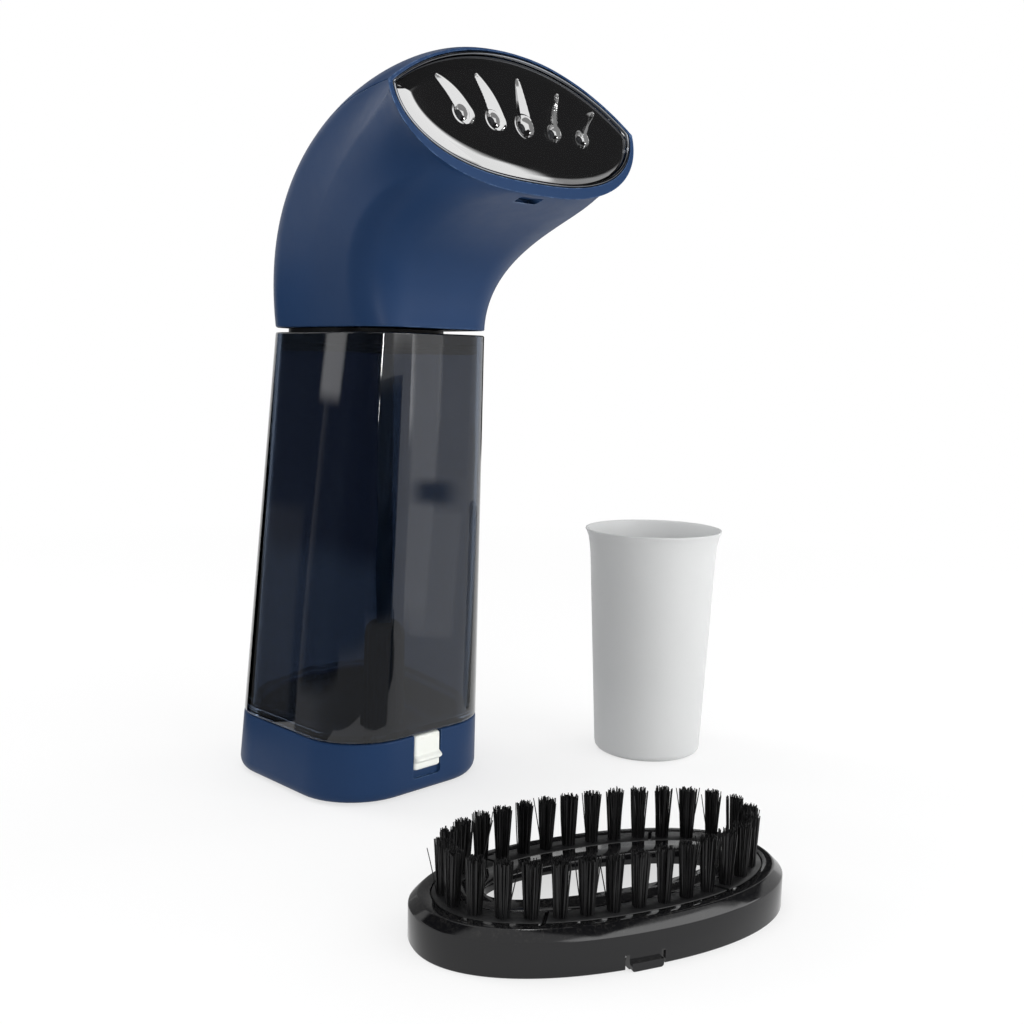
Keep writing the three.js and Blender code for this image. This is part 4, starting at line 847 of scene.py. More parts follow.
# Neck floor. A black moulded floor in the bottom of the head, screwed down to the
# lid's collar, with two posts that take the rear shell's screws.
dress_nodes(black_plastic, "neck_floor")
neck_screw_seat, neck_screw_tip, tall_head = 166.7, 157, 1.6
turn_over = Matrix.Rotation(math.pi, 4, "X")
for number, place in enumerate(neck_screw_places, 1):
    screw(
        f"neck_screw_{number}", place @ shift(z=neck_screw_seat) @ turn_over,
        neck_screw_seat - neck_screw_tip, head_height=tall_head,
    )

# Pump. A plunger pump inside an enamelled copper coil, held by a pressed steel yoke
# on a moulded bridge. All of it is hidden in the neck.
dress_nodes(black_plastic, "pump_bridge", "pump_body")
dress_nodes(zinc_steel, "pump_yoke")
wire_pitch, wire_waver, wire_relief = 0.55, 0.4, 0.15
copper_windings = solid_finish(
    "copper_windings", (142, 74, 42), 0.32, spread=0.12, patch=3.0, Metallic=1.0,
)
tree = copper_windings.node_tree
wires = add_node(tree, "ShaderNodeTexWave", {
    "Vector": own_place(tree), "Scale": math.pi / 10 / (wire_pitch * mm),
    "Distortion": wire_waver,
}, bands_direction="Z", wave_profile="SIN")
tree.links.new(wires.outputs[1], tree.nodes["Bump"].inputs["Height"])
tree.nodes["Bump"].inputs["Distance"].default_value = wire_relief * mm
dress_nodes(copper_windings, "pump_coil")

# Head shells. Two blue mouldings that flare from the tank's top to the steaming face
# and meet at a seam up the back corners, which turns forward into the face's corners.
face_forward, face_height = 82.4, 229.2
face_tilt = math.radians(15.56)
face_half, face_top, face_bottom = 51, 18.3, 22.3
rim_top, rim_bottom, rim_side = 0.9, 4, 2
shell_wall = 2.2
back_rise, back_end = 73, 1.5
throat_rise, throat_lean, throat_end = 28, 7.3, 9
chin_drop = math.radians(6)
shape_power, rim_power = 3.5, 6
seam_start, seam_power, seam_gap = math.radians(50), 3.2, 0.45
seam_draw, seam_draw_shares, seam_step_shares = 0.22, (1, 0.35, 0.08), (0, 0.35, 1)
seam_clear_share = 2.2
head_edge, head_edge_reach = 0.5, 0.004
rim_edge_share, rim_edge_reach = 0.09, 0.006
head_steps, front_steps, rear_steps = 56, 150, 90
face_points, halvings = 480, 30
seat_depth, seat_ledge, seat_low = 1.2, 3.4, 3.3

face_axis = np.array((math.cos(face_tilt), math.sin(face_tilt)))
face_up = np.array((-math.sin(face_tilt), math.cos(face_tilt)))
face_middle = np.array((face_forward, face_height))
chin_way = np.array((math.cos(face_tilt + chin_drop), math.sin(face_tilt + chin_drop)))
back_head = face_middle + face_up * (face_top + rim_top)
chin = face_middle - face_up * (face_bottom + rim_bottom)
back_foot = np.array((tank_top_forward - tank_top_half[1], head_bottom))
throat_foot = np.array((tank_top_forward + tank_top_half[1], head_bottom))
back_line = (back_foot, back_foot + (0, back_rise), back_head - face_axis * back_end, back_head)
throat_line = (
    throat_foot, throat_foot + (-throat_lean, throat_rise), chin - chin_way * throat_end, chin,
)
face_sag_share, lower_power = 0.945, 2.6
face_sag = face_sag_share * face_top
face_arc = (face_half ** 2 + face_sag ** 2) / (2 * face_sag)


def along(line, t):
    a, b, c, d = line
    s = 1 - t
    return a * s ** 3 + 3 * b * s ** 2 * t + 3 * c * s * t ** 2 + d * t ** 3


def upper_edge(x):
    return face_top - face_arc + np.sqrt(face_arc ** 2 - x ** 2)


def lower_edge(x):
    return -face_bottom * np.sqrt(np.maximum(1 - np.abs(x / face_half) ** lower_power, 0))


def reach(angles, furthest, inside):
    """How far an outline reaches from its middle along each angle."""
    low, high = np.zeros(len(angles)), np.full(len(angles), float(furthest))
    for _ in range(halvings):
        middle = (low + high) / 2
        within = inside(middle * np.cos(angles), middle * np.sin(angles))
        low, high = np.where(within, middle, low), np.where(within, high, middle)
    return low


def inside_face(x, y):
    bounded = np.clip(x, -face_half, face_half)
    return (np.abs(x) < face_half) & (y < upper_edge(bounded)) & (y > lower_edge(bounded))


def inside_tank_top(x, y):
    beyond_x = np.maximum(np.abs(x) - tank_top_half[0] + tank_top_corner, 0)
    beyond_y = np.maximum(np.abs(y) - tank_top_half[1] + tank_top_corner, 0)
    return np.hypot(beyond_x, beyond_y) < tank_top_corner


def unit_face(angles):
    r = reach(angles, 2 * face_half, inside_face)
    up = np.where(np.sin(angles) > 0, face_top, face_bottom)
    return r * np.cos(angles) / face_half, r * np.sin(angles) / up


def unit_tank_top(angles):
    r = reach(angles, 2 * tank_top_half[1], inside_tank_top)
    return r * np.cos(angles) / tank_top_half[0], r * np.sin(angles) / tank_top_half[1]


def head_ring(t, angles, wall):
    """Points of a section across the head, drawn in by wall(width of the rim there)."""
    back, front = along(back_line, t), along(throat_line, t)
    length = np.linalg.norm(back - front)
    across = (back - front) / length
    shape = t ** shape_power
    end_share = (face_bottom + rim_bottom) / (face_bottom + rim_bottom + face_top + rim_top)
    share = mix(0.5, end_share, shape)
    tank_x, tank_y = unit_tank_top(angles)
    face_x, face_y = unit_face(angles)
    half_width = mix(tank_top_half[0], face_half + rim_side, t) - wall(rim_side)
    x = mix(tank_x, face_x, shape) * half_width
    y = mix(tank_y, face_y, shape)
    up = np.where(
        y > 0, length * (1 - share) - wall(rim_top), length * share - wall(rim_bottom)
    )
    lift = length * share + y * up
    return [
        (px, -(front[0] + across[0] * high), front[1] + across[1] * high)
        for px, high in zip(x, lift)
    ]


def seam_angle(t):
    return seam_start * (1 - t ** seam_power)


def head_shell(name, start, end, arc_steps):
    foot_stops = head_edge_reach * np.linspace(0, 1, 5)[:-1]
    rim_stops = 1 - rim_edge_reach * np.linspace(1, 0, 9) ** 2
    stops = [*foot_stops, *np.linspace(head_edge_reach, rim_stops[0], head_steps)[:-1], *rim_stops]
    seam_curve = seam_draw * np.array(seam_draw_shares)
    rings = []
    for t in stops:
        width = mix(tank_top_half[0], face_half, t)
        gap = seam_gap / 2 / width
        steps = gap * np.array(seam_step_shares)
        clear = gap * seam_clear_share
        first, last = start(t) + gap, end(t) - gap
        middle = np.linspace(first + clear, last - clear, arc_steps + 1)
        outer = np.concatenate((first + steps, middle, last - steps[::-1]))
        drawn = np.concatenate((seam_curve, np.zeros(arc_steps + 1), seam_curve[::-1]))
        foot_draw = rounded_off(head_edge, min(t / head_edge_reach, 1))
        rim_draw_share = rounded_off(rim_edge_share, min((1 - t) / rim_edge_reach, 1))
        taper = t ** rim_power
        rings.append(
            head_ring(t, outer, lambda rim_width: (
                drawn * (1 - taper) + foot_draw + rim_draw_share * rim_width
            ))
            + head_ring(t, outer, lambda rim_width: (
                mix(shell_wall, rim_width - fit, taper)
            ))[::-1]
        )
    return loft(name, rings)


face_place = shift(y=-face_forward, z=face_height) @ Matrix.Rotation(
    math.pi / 2 - face_tilt, 4, "X"
)
face_unit = unit_face(full_turn(face_points))


def face_ring(grow, out):
    up = np.where(face_unit[1] > 0, face_top, face_bottom) + grow
    return [
        (x * (face_half + grow), y * u, out)
        for x, y, u in zip(face_unit[0], face_unit[1], up)
    ]


def face_seat():
    return loft(
        "tool", [
            face_ring(fit, far), face_ring(fit, -seat_depth),
            face_ring(fit - seat_ledge, -seat_low),
        ],
        place=face_place,
    )


slot_half, slot_height, slot_share, slot_corner = 4.8, 1.4, 0.9, 0.65
slot_at = along(throat_line, slot_share)
slot_outline = rounded_ring(slot_half, slot_height / 2, slot_corner, 0, 0, 5)
front_shell = head_shell(
    "head_front", lambda t: math.pi - seam_angle(t), lambda t: 2 * math.pi + seam_angle(t),
    front_steps,
)
combine(front_shell, [
    face_seat(),
    loft("tool", [
        [(x, -slot_at[0] + side * far, slot_at[1] + z) for x, z, _ in slot_outline]
        for side in (-1, 1)
    ]),
])
dress(front_shell, blue_plastic, "blue_shell", "head_front_shell")

# Boiler. A cast alloy block behind the face with a hairpin element, its cover, a snap
# thermostat and a sleeved fuse, in a black insulating frame. All of it is hidden.
cast_alloy = solid_finish(
    "cast_alloy", (150, 152, 156), 0.52, spread=0.14, patch=5.0, grain=0.45, relief=0.03,
    gloss_shift=0.1, Metallic=1.0,
)
fuse_sleeve = solid_finish(
    "fuse_sleeve", (226, 225, 216), 0.8, spread=0.06, patch=1.5, grain=0.35, relief=0.05,
)
dress_nodes(cast_alloy, "boiler", "boiler_cover")
dress_nodes(zinc_steel, "heating_element")
dress_nodes(black_plastic, "face_frame", "thermostat")
dress_nodes(fuse_sleeve, "thermal_fuse")
boiler_screw_at, boiler_screw_length = (33.5, 0.6, -16.9), 8.1
for number, side in enumerate((1, -1), 1):
    across, up, behind = boiler_screw_at
    screw(
        f"boiler_screw_{number}", face_place @ shift(side * across, up, behind),
        boiler_screw_length, head_height=tall_head,
    )

# Soleplate. Cast alloy under a glossy black coating, with a rolled edge and five steam
# outlets: round bowls, each drawn out above into a scooped channel.
plate_inset_edge, plate_back_inset = 1.3, 3.4
plate_shoulder, plate_back = -1.0, -3.0
roll_width, roll_power = 4.8, 1.9
outlet_places, outlet_pitch, outlet_drop = (-2, -1, 0, 1, 2), 13.2, 4.2
bowl_radii = (2.7, 2.7, 3.5, 2.7, 2.7)
bowl_depth, bowl_edge_share, jet_radius = 1.7, 0.97, 1.5
lip_height, lip_out, lip_spread = 0.1, 0.4, 0.28
tail_reaches = (9.7, 12.8, 14.4, 12.8, 9.7)
tail_leans = (-7.4, -4.3, 0, 4.3, 7.4)
tail_sides = (1, 1, 0, -1, -1)
tail_root, tail_aside, tail_bow, tail_fullness = 3.3, 1.5, 1.0, 0.7
tail_tip, tail_depth, tail_end_share, tail_cliff, tail_soft = 0.7, 1.2, 0.6, 0.35, (0.1, -0.3)
grid_columns, grid_rows, edge_crowding = 400, 160, 0.4


def crowded(steps):
    """Even steps from 0 to 1, drawn together towards both ends."""
    even = np.linspace(0, 1, steps + 1)
    return mix(even, (1 - np.cos(math.pi * even)) / 2, edge_crowding)


def on_plate(unit_x, y, inset):
    """A point of the face's outline scaled in by an inset."""
    up = np.where(y > 0, face_top, face_bottom)
    return unit_x * (face_half - inset) / face_half, y * (up - inset) / up


def tail_shape(x, y, lean, tail, side):
    """Signed distance to an outlet's channel, the share of its length and of its half width."""
    x, lean = x - side * tail_aside, lean - side * tail_aside
    length = math.hypot(lean, tail)
    ahead = (x * lean + y * tail) / length
    share = np.clip(ahead / length, 0, 1)
    aside = (x * tail - y * lean) / length - side * tail_bow * np.sin(math.pi * share)
    half = mix(tail_tip, tail_root, (1 - share) ** tail_fullness)
    distance = np.where(
        ahead < 0, np.hypot(aside, ahead) - tail_root,
        np.where(ahead > length, np.hypot(aside, ahead - length) - tail_tip, np.abs(aside) - half),
    )
    return distance, share, aside / half


def smooth_step(low, high, value):
    share = np.clip((value - low) / (high - low), 0, 1)
    return share * share * (3 - 2 * share)


columns = (2 * crowded(grid_columns) - 1) * face_half
upper, lower = upper_edge(columns), lower_edge(columns)
unit_y = lower + (upper - lower) * crowded(grid_rows)[:, None]
unit_x = np.broadcast_to(columns, unit_y.shape)
plate_x, plate_y = on_plate(unit_x, unit_y, plate_inset_edge)
border = [
    *[(0, j) for j in range(grid_columns)],
    *[(i, grid_columns) for i in range(grid_rows)],
    *[(grid_rows, j) for j in range(grid_columns, 0, -1)],
    *[(i, 0) for i in range(grid_rows, 0, -1)],
]
edge_points = np.array([(plate_x[i, j], plate_y[i, j]) for i, j in border])
from_edge = np.array([
    np.hypot(edge_points[:, 0, None] - row_x, edge_points[:, 1, None] - row_y).min(axis=0)
    for row_x, row_y in zip(plate_x, plate_y)
])
plate_z = plate_shoulder * np.clip(1 - from_edge / roll_width, 0, 1) ** roll_power
for place, bowl, tail, lean, side in zip(
    outlet_places, bowl_radii, tail_reaches, tail_leans, tail_sides
):
    local_x = plate_x - place * outlet_pitch
    local_y = plate_y + outlet_drop
    outside, share, aside = tail_shape(local_x, local_y, lean, tail, side)
    if side:
        across_tail = np.clip(side * aside, -1, 1)
        ramp = smooth_step(-1, tail_cliff - 1, across_tail) * (1 - across_tail) / (2 - tail_cliff)
    else:
        ramp = 1 - np.abs(np.clip(aside, -1, 1))
    channel = tail_depth * ramp * mix(1, tail_end_share, share) * smooth_step(*tail_soft, outside)
    from_bowl = np.hypot(local_x, local_y)
    dish = np.sqrt(np.maximum(1 - (bowl_edge_share * from_bowl / bowl) ** 2, 0))
    well = np.where(from_bowl < bowl, bowl_depth * dish, 0)
    lip = lip_height * np.exp(-((from_bowl - bowl - lip_out) / lip_spread) ** 2)
    plate_z += lip - np.maximum(channel, well)

back_x, back_y = on_plate(unit_x, unit_y, plate_back_inset)
plate_points = list(zip(plate_x.ravel(), plate_y.ravel(), plate_z.ravel()))
plate_points += [(back_x[i, j], back_y[i, j], plate_back) for i, j in border]
across = grid_columns + 1
plate_faces = [
    (i * across + j, i * across + j + 1, (i + 1) * across + j + 1, (i + 1) * across + j)
    for i in range(grid_rows) for j in range(grid_columns)
]
skirt = len(plate_x.ravel())
for k, (i, j) in enumerate(border):
    after = (k + 1) % len(border)
    i_after, j_after = border[after]
    plate_faces.append((
        i * across + j, skirt + k, skirt + after, i_after * across + j_after,
    ))
plate_faces.append(tuple(range(skirt, skirt + len(border))))
soleplate = mesh_piece("steam_plate", plate_points, plate_faces)
combine(soleplate, [
    rod(jet_radius, 2 * plate_back, far, shift(place * outlet_pitch, -outlet_drop))
    for place in outlet_places
])
soleplate.data.transform(face_place)
coated_black = solid_finish(
    "coated_black", (15, 15, 16), 0.07, spread=0.06, patch=14.0, grain=1.4, relief=0.001,
    gloss_shift=0.02, Specular_IOR_Level=0.3, Coat_Weight=1.0, Coat_IOR=2.4,
    Coat_Roughness=0.04,
)
dress(soleplate, coated_black, "coated_plate", "soleplate", angle=40)

# Trim. A thin chromed ring pressed round the plate.
trim_width, trim_proud, trim_depth, trim_radius, trim_foot = 1, 0.1, 0.9, 0.4, 0.3
trim_profile = [
    (-trim_foot, -trim_depth),
    *arc((-trim_radius, trim_proud - trim_radius), trim_radius, 0, 90),
    *arc((-trim_width + trim_radius, trim_proud - trim_radius), trim_radius, 90, 180),
    (-trim_width, -trim_depth),
]
face_trim = loft(
    "bright_ring", [face_ring(grow, out) for grow, out in trim_profile], True, face_place
)
bright_chrome = solid_finish(
    "bright_chrome", (112, 114, 118), 0.14, spread=0.04, patch=6.0, grain=0.5, relief=0.002,
    gloss_shift=0.04, Metallic=1.0,
)
dress(face_trim, bright_chrome, "bright_trim", "face_trim", angle=60)

# Steam button. A glossy black cap in a window of the rear shell, with a shallow dish
# for the thumb. It is held by its flange and works a microswitch on a small board.
button_half, button_proud = (8, 11.5), 1.8
flange_low, flange_high, button_skirt = -3.5, -2.5, 1.3
button_stem_low, button_stem_radius, button_stem_root, button_round = -5.1, 2, 0.3, 0.9
# On the back of the head: y and z of the place, and the way out of the skin there
button_at = (12.354, 200.429, 0.8463, 0.5326)
indicator_at = (-3.848, 218.570, 0.6367, 0.7711)
gland_at = (21.579, 176.177, 0.9860, 0.1667)


def on_back(y, z, out_y, out_z):
    """A place on the back of the head, with Z out of the skin."""
    return shift(0, y, z) @ Matrix.Rotation(math.atan2(-out_y, out_z), 4, "X")


def button_ring(grow, z, steps=18):
    return rounded_ring(
        button_half[0] + grow, button_half[1] + grow, button_half[0] + grow - fit / 2, 0, z, steps
    )


button_place = on_back(*button_at)
button_profile = [
    (button_skirt, flange_low), (button_skirt, flange_high), (0, flange_high),
    (0, button_round),
    *arc((-button_round, button_round), button_round, 0, 90, 8),
    (-1.6, button_proud), (-2.4, 1.72), (-3.6, 1.48), (-5, 1.26), (-6.4, 1.14), (-7.4, 1.1),
]
steam_button = loft("thumb_button", [button_ring(grow, z) for grow, z in button_profile])
combine(steam_button, [rod(
    button_stem_radius, button_stem_low, flange_high - button_stem_root,
)], "UNION")
steam_button.data.transform(button_place)
black_gloss = solid_finish(
    "black_gloss", (15, 15, 17), 0.1, spread=0.08, patch=10.0, grain=0.9, relief=0.003,
    gloss_shift=0.03, wear_and_highlight_colour=(60, 60, 62), wear_and_highlight=0.25, dust=0.08, Specular_IOR_Level=0.4,
)
dress(steam_button, black_gloss, "black_gloss", "steam_button", body="button", angle=50)
dress_nodes(black_plastic, "microswitch")

track_pitch, track_share, tinned_tracks = 6, 0.03, (96, 150, 92)
board_green = solid_finish(
    "board_green", (30, 88, 56), 0.38, spread=0.08, patch=4.0, grain=0.3, relief=0.01,
)
tree = board_green.node_tree
black, bare = (0, 0, 0, 1), (1, 1, 1, 1)
tracks = add_node(tree, "ShaderNodeTexBrick", {
    "Vector": own_place(tree), "Scale": 1 / (track_pitch * mm), "Mortar Size": track_share,
    "Color1": black, "Color2": black, "Mortar": bare,
})
board_colour = tree.nodes["Principled BSDF"].inputs["Base Color"]
tree.links.new(blend_colour(
    tree, tracks.outputs[0], board_colour.links[0].from_socket, srgb(*tinned_tracks),
), board_colour)
dress_nodes(board_green, "control_board")
board_screw_seat, board_screw_length, board_screw_head, board_screw_shank = -11.95, 5.95, 1.9, 0.9
post_places = ((11.2, 9), (-11.2, -9))
for number, (x, y) in enumerate(post_places, 1):
    screw(
        f"board_screw_{number}", button_place @ shift(x, y, board_screw_seat),
        board_screw_length, head=board_screw_head, shank=board_screw_shank,
    )

# Indicator lens and cord gland. A red clear lens above the button, and a ribbed rubber
# bush for the cord at the foot of the head.
indicator_place = on_back(*indicator_at)
indicator_radius = 2.5
indicator_lens = turned("red_lens_cap", [
    (3.6, -3.8), (3.6, -2.8), (indicator_radius, -2.8), (indicator_radius, -0.1),
    (2.3, 0.15), (1.9, 0.33), (1.3, 0.44), (0.6, 0.5),
], indicator_place, steps=40)
red_clear = solid_finish(
    "red_clear", (176, 34, 28), 0.12, spread=0.05, patch=2.0, grain=0.4, relief=0.002,
    Transmission_Weight=0.55, IOR=1.49,
)
dress(indicator_lens, red_clear, "red_lens", "indicator_lens")

gland_place = on_back(*gland_at)
gland_bore, gland_radius, gland_flange, gland_inner = 3.7, 6, 8, 7.4
gland_low, gland_proud, gland_round, gland_steps = -5.6, 2.4, 0.8, 48
cord_gland = turned("cord_bush", [
    (gland_bore, gland_low), (gland_inner, gland_low), (gland_inner, -2.8), (gland_radius, -2.8),
    (gland_radius, fit), (gland_flange, fit), (gland_flange, 0.7),
    *arc((gland_flange - gland_round, 0.7), gland_round, 0, 90),
    (6.6, 1.5), (6.3, 1.7), (6, 2.1), (5.6, gland_proud), (4.4, gland_proud),
    (4, 2.3), (gland_bore, 1.9),
], gland_place, steps=64, looped=True)
dress(cord_gland, dark_rubber, "soft_rubber", "cord_gland")

# Rear head shell. It closes the head from behind, with a window for the button, holes
# for the lens and the gland, two wells for its screws and two posts for the board.
well_side, well_height, well_radius, well_back, well_floor = 14, 176.963, 3.1, -22.6, -19.6
boss_back, boss_front, boss_wide = -21.6, -17.4, 4.7
post_radius, post_bore, post_low, post_root = 2.2, 1.2, -9.9, -1.6
post_bore_low, post_bore_high = -10.5, -5.7
shell_screw_seat, shell_screw_length = -19.9, 10.3
well_places = [facing_forward(well_height, side * well_side) for side in (1, -1)]
post_tools = [button_place @ shift(x, y) for x, y in post_places]
rear_shell = head_shell(
    "head_rear", seam_angle, lambda t: math.pi - seam_angle(t), rear_steps
)
combine(rear_shell, [
    *[rod(post_radius, post_low, post_root, place) for place in post_tools],
    *[rod(boss_wide, boss_back, boss_front, place) for place in well_places],
], "UNION")
combine(rear_shell, [
    face_seat(),
    loft("tool", [button_ring(fit, z) for z in (-far, far)], place=button_place),
    loft("tool", [
        button_ring(button_skirt + fit, z) for z in (flange_low - far, flange_high + fit)
    ], place=button_place),
    rod(indicator_radius + fit, -far, far, indicator_place),
    rod(gland_radius + fit, -far, far, gland_place, gland_steps),
    rod(gland_inner + fit, gland_low - far, flange_high, gland_place, gland_steps),
    *[rod(well_radius, well_back - far, well_floor, place) for place in well_places],
    *[rod(screw_bore, well_back - far, boss_front + far, place) for place in well_places],
    *[rod(post_bore, post_bore_low, post_bore_high, place) for place in post_tools],
])
dress(rear_shell, blue_plastic, "blue_shell", "head_rear_shell")
for number, place in enumerate(well_places, 1):
    screw(f"shell_screw_{number}", place @ shift(z=shell_screw_seat), shell_screw_length)

# Filler plug. A soft white plug with a rounded gripping ridge. Its grooved stem holds
# a small seal and pushes into the filler neck in the front of the base.
plug_proud, plug_ridge, plug_rounding, plug_corner = 0.2, 1.7, 0.9, 1.3
ridge_low, ridge_high = [mix(plug_low, plug_high, share) for share in (0.2, 0.44)]
ridge_power, plug_round_stops, seal_steps = 1.3, 7, 16
plug_face = column_front(port_height) + plug_proud
stem_radius, stem_waist, stem_reach, stem_step, stem_edge = 3.9, 3, 4.3, 1, 0.4
stem_tip = plug_back - stem_reach


def plug_ring(z, inset):
    share = (z - ridge_low) / (ridge_high - ridge_low)
    ridge = plug_ridge * math.sin(math.pi * share) ** ridge_power if 0 < share < 1 else 0
    half, front = plug_half_width - inset, plug_face + ridge - inset
    middle, round_at = half - plug_corner, front - plug_corner
    outline = [
        (half, plug_back),
        *arc((middle, round_at), plug_corner, 0, 90, 6),
        *arc((-middle, round_at), plug_corner, 90, 180, 6),
        (-half, plug_back),
    ]
    return [(x, -y, z) for x, y in outline]


plug_straight, plug_straight_stops = (plug_low + plug_rounding, plug_high - plug_rounding), 60
plug_rounds = [
    (plug_rounding * share, rounded_off(plug_rounding, share))
    for share in np.linspace(0, 1, plug_round_stops)
]
plug_stops = [
    *[(plug_low + rise, inset) for rise, inset in plug_rounds],
    *[(z, 0) for z in np.linspace(*plug_straight, plug_straight_stops)[1:-1]],
    *[(plug_high - rise, inset) for rise, inset in reversed(plug_rounds)],
]
filler_plug = loft("pull_plug", [plug_ring(z, inset) for z, inset in plug_stops])
combine(filler_plug, [turned("tool", [
    (stem_radius - stem_edge, stem_tip), (stem_radius, stem_tip + stem_edge),
    (stem_radius, stem_tip + stem_step), (stem_waist, stem_tip + stem_step),
    (stem_waist, plug_back - stem_step), (stem_radius, plug_back - stem_step),
    (stem_radius, plug_back + stem_step),
], facing_forward(port_height))], "UNION")
white_rubber = solid_finish(
    "white_rubber", (232, 234, 228), 0.5, spread=0.02, patch=6.0, grain=0.4, relief=0.006,
    gloss_shift=0.05, wear_and_highlight_colour=(214, 214, 206), wear_and_highlight=0.3, Specular_IOR_Level=0.4,
)
dress(filler_plug, white_rubber, "white_plug", "filler_plug", body="plug", angle=45)

seal_middle, seal_radius, seal_thick, seal_long = plug_back - stem_reach / 2, 3.6, 0.3, 0.85
plug_seal = turned("plug_ring_seal", [
    (seal_radius + seal_thick * math.cos(angle), seal_middle + seal_long * math.sin(angle))
    for angle in full_turn(seal_steps)
], facing_forward(port_height), looped=True)
dress(plug_seal, dark_rubber, "soft_rubber", "plug_seal", body="plug", angle=60)

# Brush frame. A glossy black oval moulding that clips over the steaming face. The
# steam comes through its open middle, and a groove in its deck holds the bristles.
brush_place = shift(-25.5, -145) @ Matrix.Rotation(math.radians(-21.8), 4, "Z")
brush_half, brush_height, brush_wall, brush_foot = (55.4, 30.5), 12, 2, 0.3
opening_half, deck_under = (35, 10.2), 9.4
row_half, groove_half, groove_low, groove_edge = (46, 21.5), 3.5, 10.7, 0.2
round_power, brush_points = 2.2, 300
clip_across, clip_half, clip_slot, clip_slot_height = -2.7, 4.6, 1.2, 4
clip_hook, clip_hook_height, hook_corner, slot_round = 1.4, 1.6, 0.3, 0.1
clip_lip, clip_lip_height, clip_lip_corner = 1.3, 2.2, 0.8
clip_outline = [
    (-clip_half, clip_lip_height), (clip_half, clip_lip_height),
    *arc((clip_half - clip_lip_corner, clip_lip_corner), clip_lip_corner, 360, 270),
    *arc((clip_lip_corner - clip_half, clip_lip_corner), clip_lip_corner, 270, 180),
]


def brush_point(half, grow, angle, z):
    c, s = math.cos(angle), math.sin(angle)
    return (
        math.copysign((half[0] + grow) * abs(c) ** (2 / round_power), c),
        math.copysign((half[1] + grow) * abs(s) ** (2 / round_power), s),
        z,
    )


def brush_ring(half, grow, z):
    return [
        brush_point(half, grow, 2 * math.pi * i / brush_points, z) for i in range(brush_points)
    ]


groove_mouth = brush_height - groove_edge
brush_frame = loft("brush_body", [
    brush_ring(half, grow, z) for half, grow, z in (
        (brush_half, -0.3, 0), (brush_half, -0.05, 0.15), (brush_half, 0, 0.4),
        (brush_half, 0, 9.1), (brush_half, -0.08, 9.4), (brush_half, -0.3, 9.7),
        (brush_half, -2.3, 11.7), (brush_half, -2.6, 11.92), (brush_half, -3, brush_height),
        (row_half, groove_half + groove_edge, brush_height),
        (row_half, groove_half, groove_mouth), (row_half, groove_half, groove_low),
        (row_half, -groove_half, groove_low), (row_half, -groove_half, groove_mouth),
        (row_half, -groove_half - groove_edge, brush_height),
        (opening_half, 0.7, brush_height), (opening_half, 0.25, 11.88), (opening_half, 0, 11.5),
        (opening_half, 0, deck_under), (brush_half, -brush_wall - fit, deck_under),
        (brush_half, -brush_wall, brush_foot), (brush_half, -brush_wall + 0.2, 0),
    )
], True)
clip_near = -brush_half[1] * (
    1 - (abs(clip_across) / brush_half[0]) ** round_power
) ** (1 / round_power)


def upright_block(half_x, half_y, corner, x, y, low, high):
    return loft("tool", [
        [(x + px, y + py, z) for px, py, _ in rounded_ring(half_x, half_y, corner, 0, 0, 3)]
        for z in (low, high)
    ])


hook_back, hook_half = clip_near + brush_wall / 2, (brush_wall / 2 + clip_hook) / 2
combine(brush_frame, [
    upright_block(
        clip_half, hook_half, hook_corner, clip_across, hook_back + hook_half,
        0, clip_hook_height,
    ),
    loft("tool", [
        [(clip_across + x, y, z) for x, z in clip_outline]
        for y in (clip_near - clip_lip, hook_back)
    ]),
], "UNION")
combine(brush_frame, [
    upright_block(
        clip_slot / 2, far, slot_round, clip_across + side * (clip_half + clip_slot / 2),
        clip_near, -far, clip_slot_height,
    )
    for side in (1, -1)
])
brush_frame.data.transform(brush_place)
dress(brush_frame, black_gloss, "black_gloss", "brush_frame", body="brush", angle=50)

# Bristles. Thirty tufts of black nylon, stapled through four lengths of backing that
# lie in the groove. The hairs spread a little, and a few stray from their tufts.
band_half, band_low, band_high, band_edge = 3.2, 11, 12, 0.2
tuft_count, hairs_in_tuft, tuft_radius, tuft_flare = 30, 100, 1.75, 0.5
hair_radius, hair_tip, hair_sides, hair_stops, hair_root = 0.2, 0.16, 3, 5, 0.5
hair_length, ragged, ragged_power, hair_wander, hair_bend = 15, 0.08, 1.5, 0.14, 0.3
band_steps, row_steps = 60, 1440
stray_share, stray_reach = 0.03, 3
row_places = np.array([
    brush_point(row_half, 0, 2 * math.pi * i / row_steps, 0) for i in range(row_steps + 1)
])
row_lengths = np.concatenate((
    [0], np.cumsum(np.linalg.norm(np.diff(row_places, axis=0), axis=1)),
))


def row_angle(tufts):
    """The angle at which the row's length from its +X end is a number of tufts."""
    rounds = math.floor(tufts / tuft_count)
    share = (tufts / tuft_count - rounds) * row_lengths[-1]
    within = np.interp(share, row_lengths, np.arange(row_steps + 1))
    return 2 * math.pi * (rounds + within / row_steps)


draw = random.Random(7)


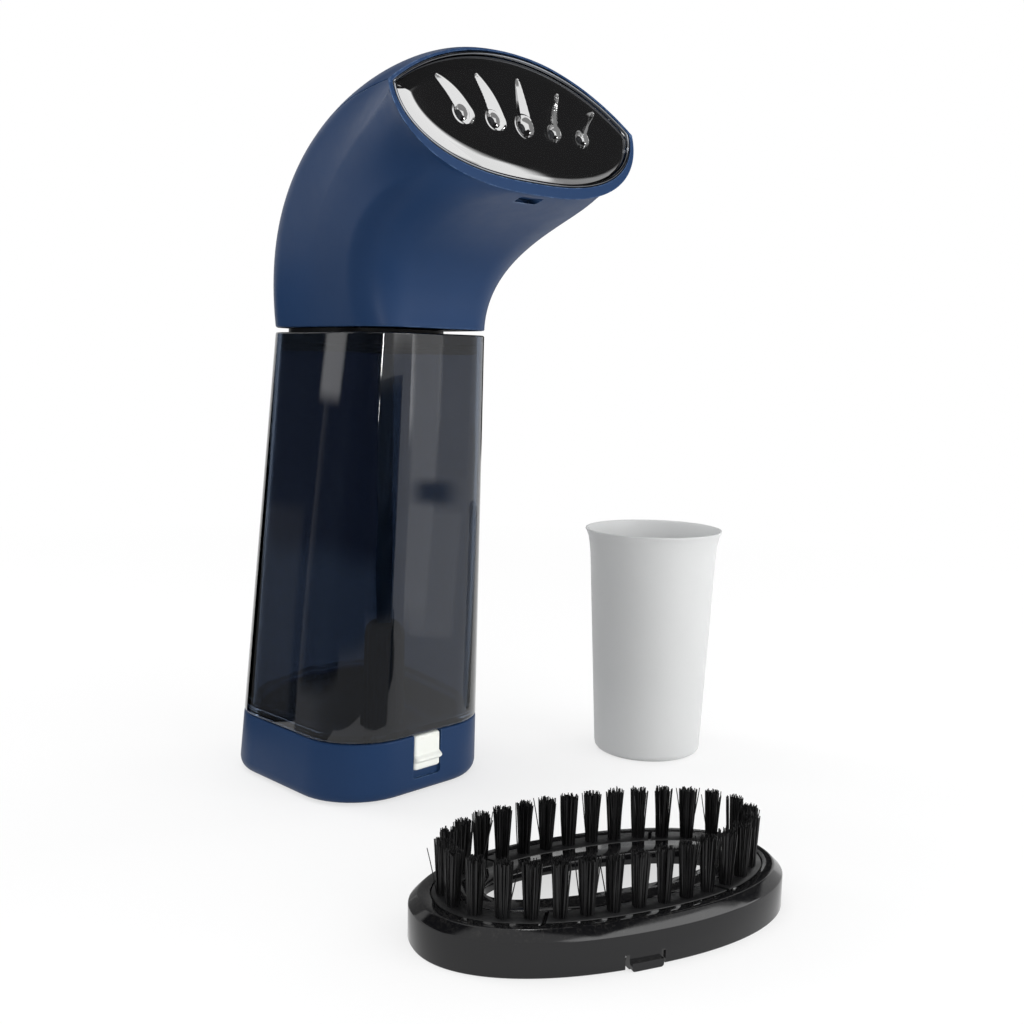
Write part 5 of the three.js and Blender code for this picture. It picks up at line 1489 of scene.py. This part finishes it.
def add_hair(points, faces, middle):
    reach_out = tuft_radius * math.sqrt(draw.random())
    angle = draw.uniform(0, 2 * math.pi)
    x, y = reach_out * math.cos(angle), reach_out * math.sin(angle)
    wander = Vector((draw.gauss(0, hair_wander), draw.gauss(0, hair_wander)))
    lean = Vector((x, y)) * tuft_flare + wander
    if draw.random() < stray_share:
        lean += Vector((draw.uniform(-1, 1), draw.uniform(-1, 1))) * stray_reach
    bend = Vector((draw.gauss(0, hair_bend), draw.gauss(0, hair_bend)))
    height = hair_length * (1 - ragged * draw.random() ** ragged_power)
    twist = draw.uniform(0, math.pi)
    rings = []
    for stop in range(hair_stops):
        share = stop / (hair_stops - 1)
        off = lean * share + bend * share * (1 - share)
        radius = mix(hair_radius, hair_tip, share)
        rings.append([
            (
                middle[0] + x + off.x + radius * math.cos(twist + side),
                middle[1] + y + off.y + radius * math.sin(twist + side),
                mix(band_high - hair_root, band_high + height, share),
            )
            for side in full_turn(hair_sides)
        ])
    add_loft(points, faces, rings)


black_nylon = solid_finish(
    "black_nylon", (19, 19, 20), 0.42, spread=0.35, patch=0.6, grain=0.25, relief=0.01,
    gloss_shift=0.1, Specular_IOR_Level=0.35,
)
first_tuft = -4
for side_name, count in (("right", 8), ("back", 7), ("left", 8), ("front", 7)):
    gap = fit / row_half[1]
    start, end = row_angle(first_tuft) + gap, row_angle(first_tuft + count) - gap
    around = np.linspace(start, end, band_steps + 1)
    points, faces = [], []
    add_loft(points, faces, [
        [brush_point(row_half, band_half - inset, a, z) for a in around]
        + [brush_point(row_half, -band_half + inset, a, z) for a in around[::-1]]
        for inset, z in ((0, band_low), (0, band_high - band_edge), (band_edge, band_high))
    ])
    for tuft in range(count):
        middle = brush_point(row_half, 0, row_angle(first_tuft + tuft + 0.5), 0)
        for _ in range(hairs_in_tuft):
            add_hair(points, faces, middle)
    first_tuft += count
    bristles = mesh_piece(f"tufts_{side_name}", points, faces, brush_place)
    dress(bristles, black_nylon, "bristles", f"bristles_{side_name}", body="brush", angle=60)

# Measuring cup. Thin frosted plastic, tapered, with a wall that flares out to a small
# rolled rim and a rounded foot.
cup_place = shift(100, -60)
cup_profile = [
    (15.6, 0.4), (16.2, 0), (18, 0), (19.2, 0.15), (20.2, 0.7), (20.8, 1.5), (21, 2.6),
    (24.55, 77), (24.75, 80), (25.1, 83), (25.65, 85.8), (26.3, 87.7), (26.7, 88.3),
    (26.8, 88.65), (26.7, 88.92), (26.4, 89), (26.05, 88.9), (25.7, 88.3),
    (25, 86.3), (24.2, 83.6), (23.7, 80.6), (23.4, 77.5), (19.8, 4.2), (19.5, 3),
    (18.8, 2), (17.6, 1.6),
]
measuring_cup = turned("frosted_beaker", cup_profile, cup_place, steps=144)
frosted_plastic = solid_finish(
    "frosted_plastic", (212, 213, 213), 0.55, spread=0.015, patch=20.0, grain=0.3, relief=0.006,
    gloss_shift=0.04, Transmission_Weight=0.2, IOR=1.49, Specular_IOR_Level=0.3,
)
dress(measuring_cup, frosted_plastic, "frosted_cup", "measuring_cup", body="cup", angle=60)
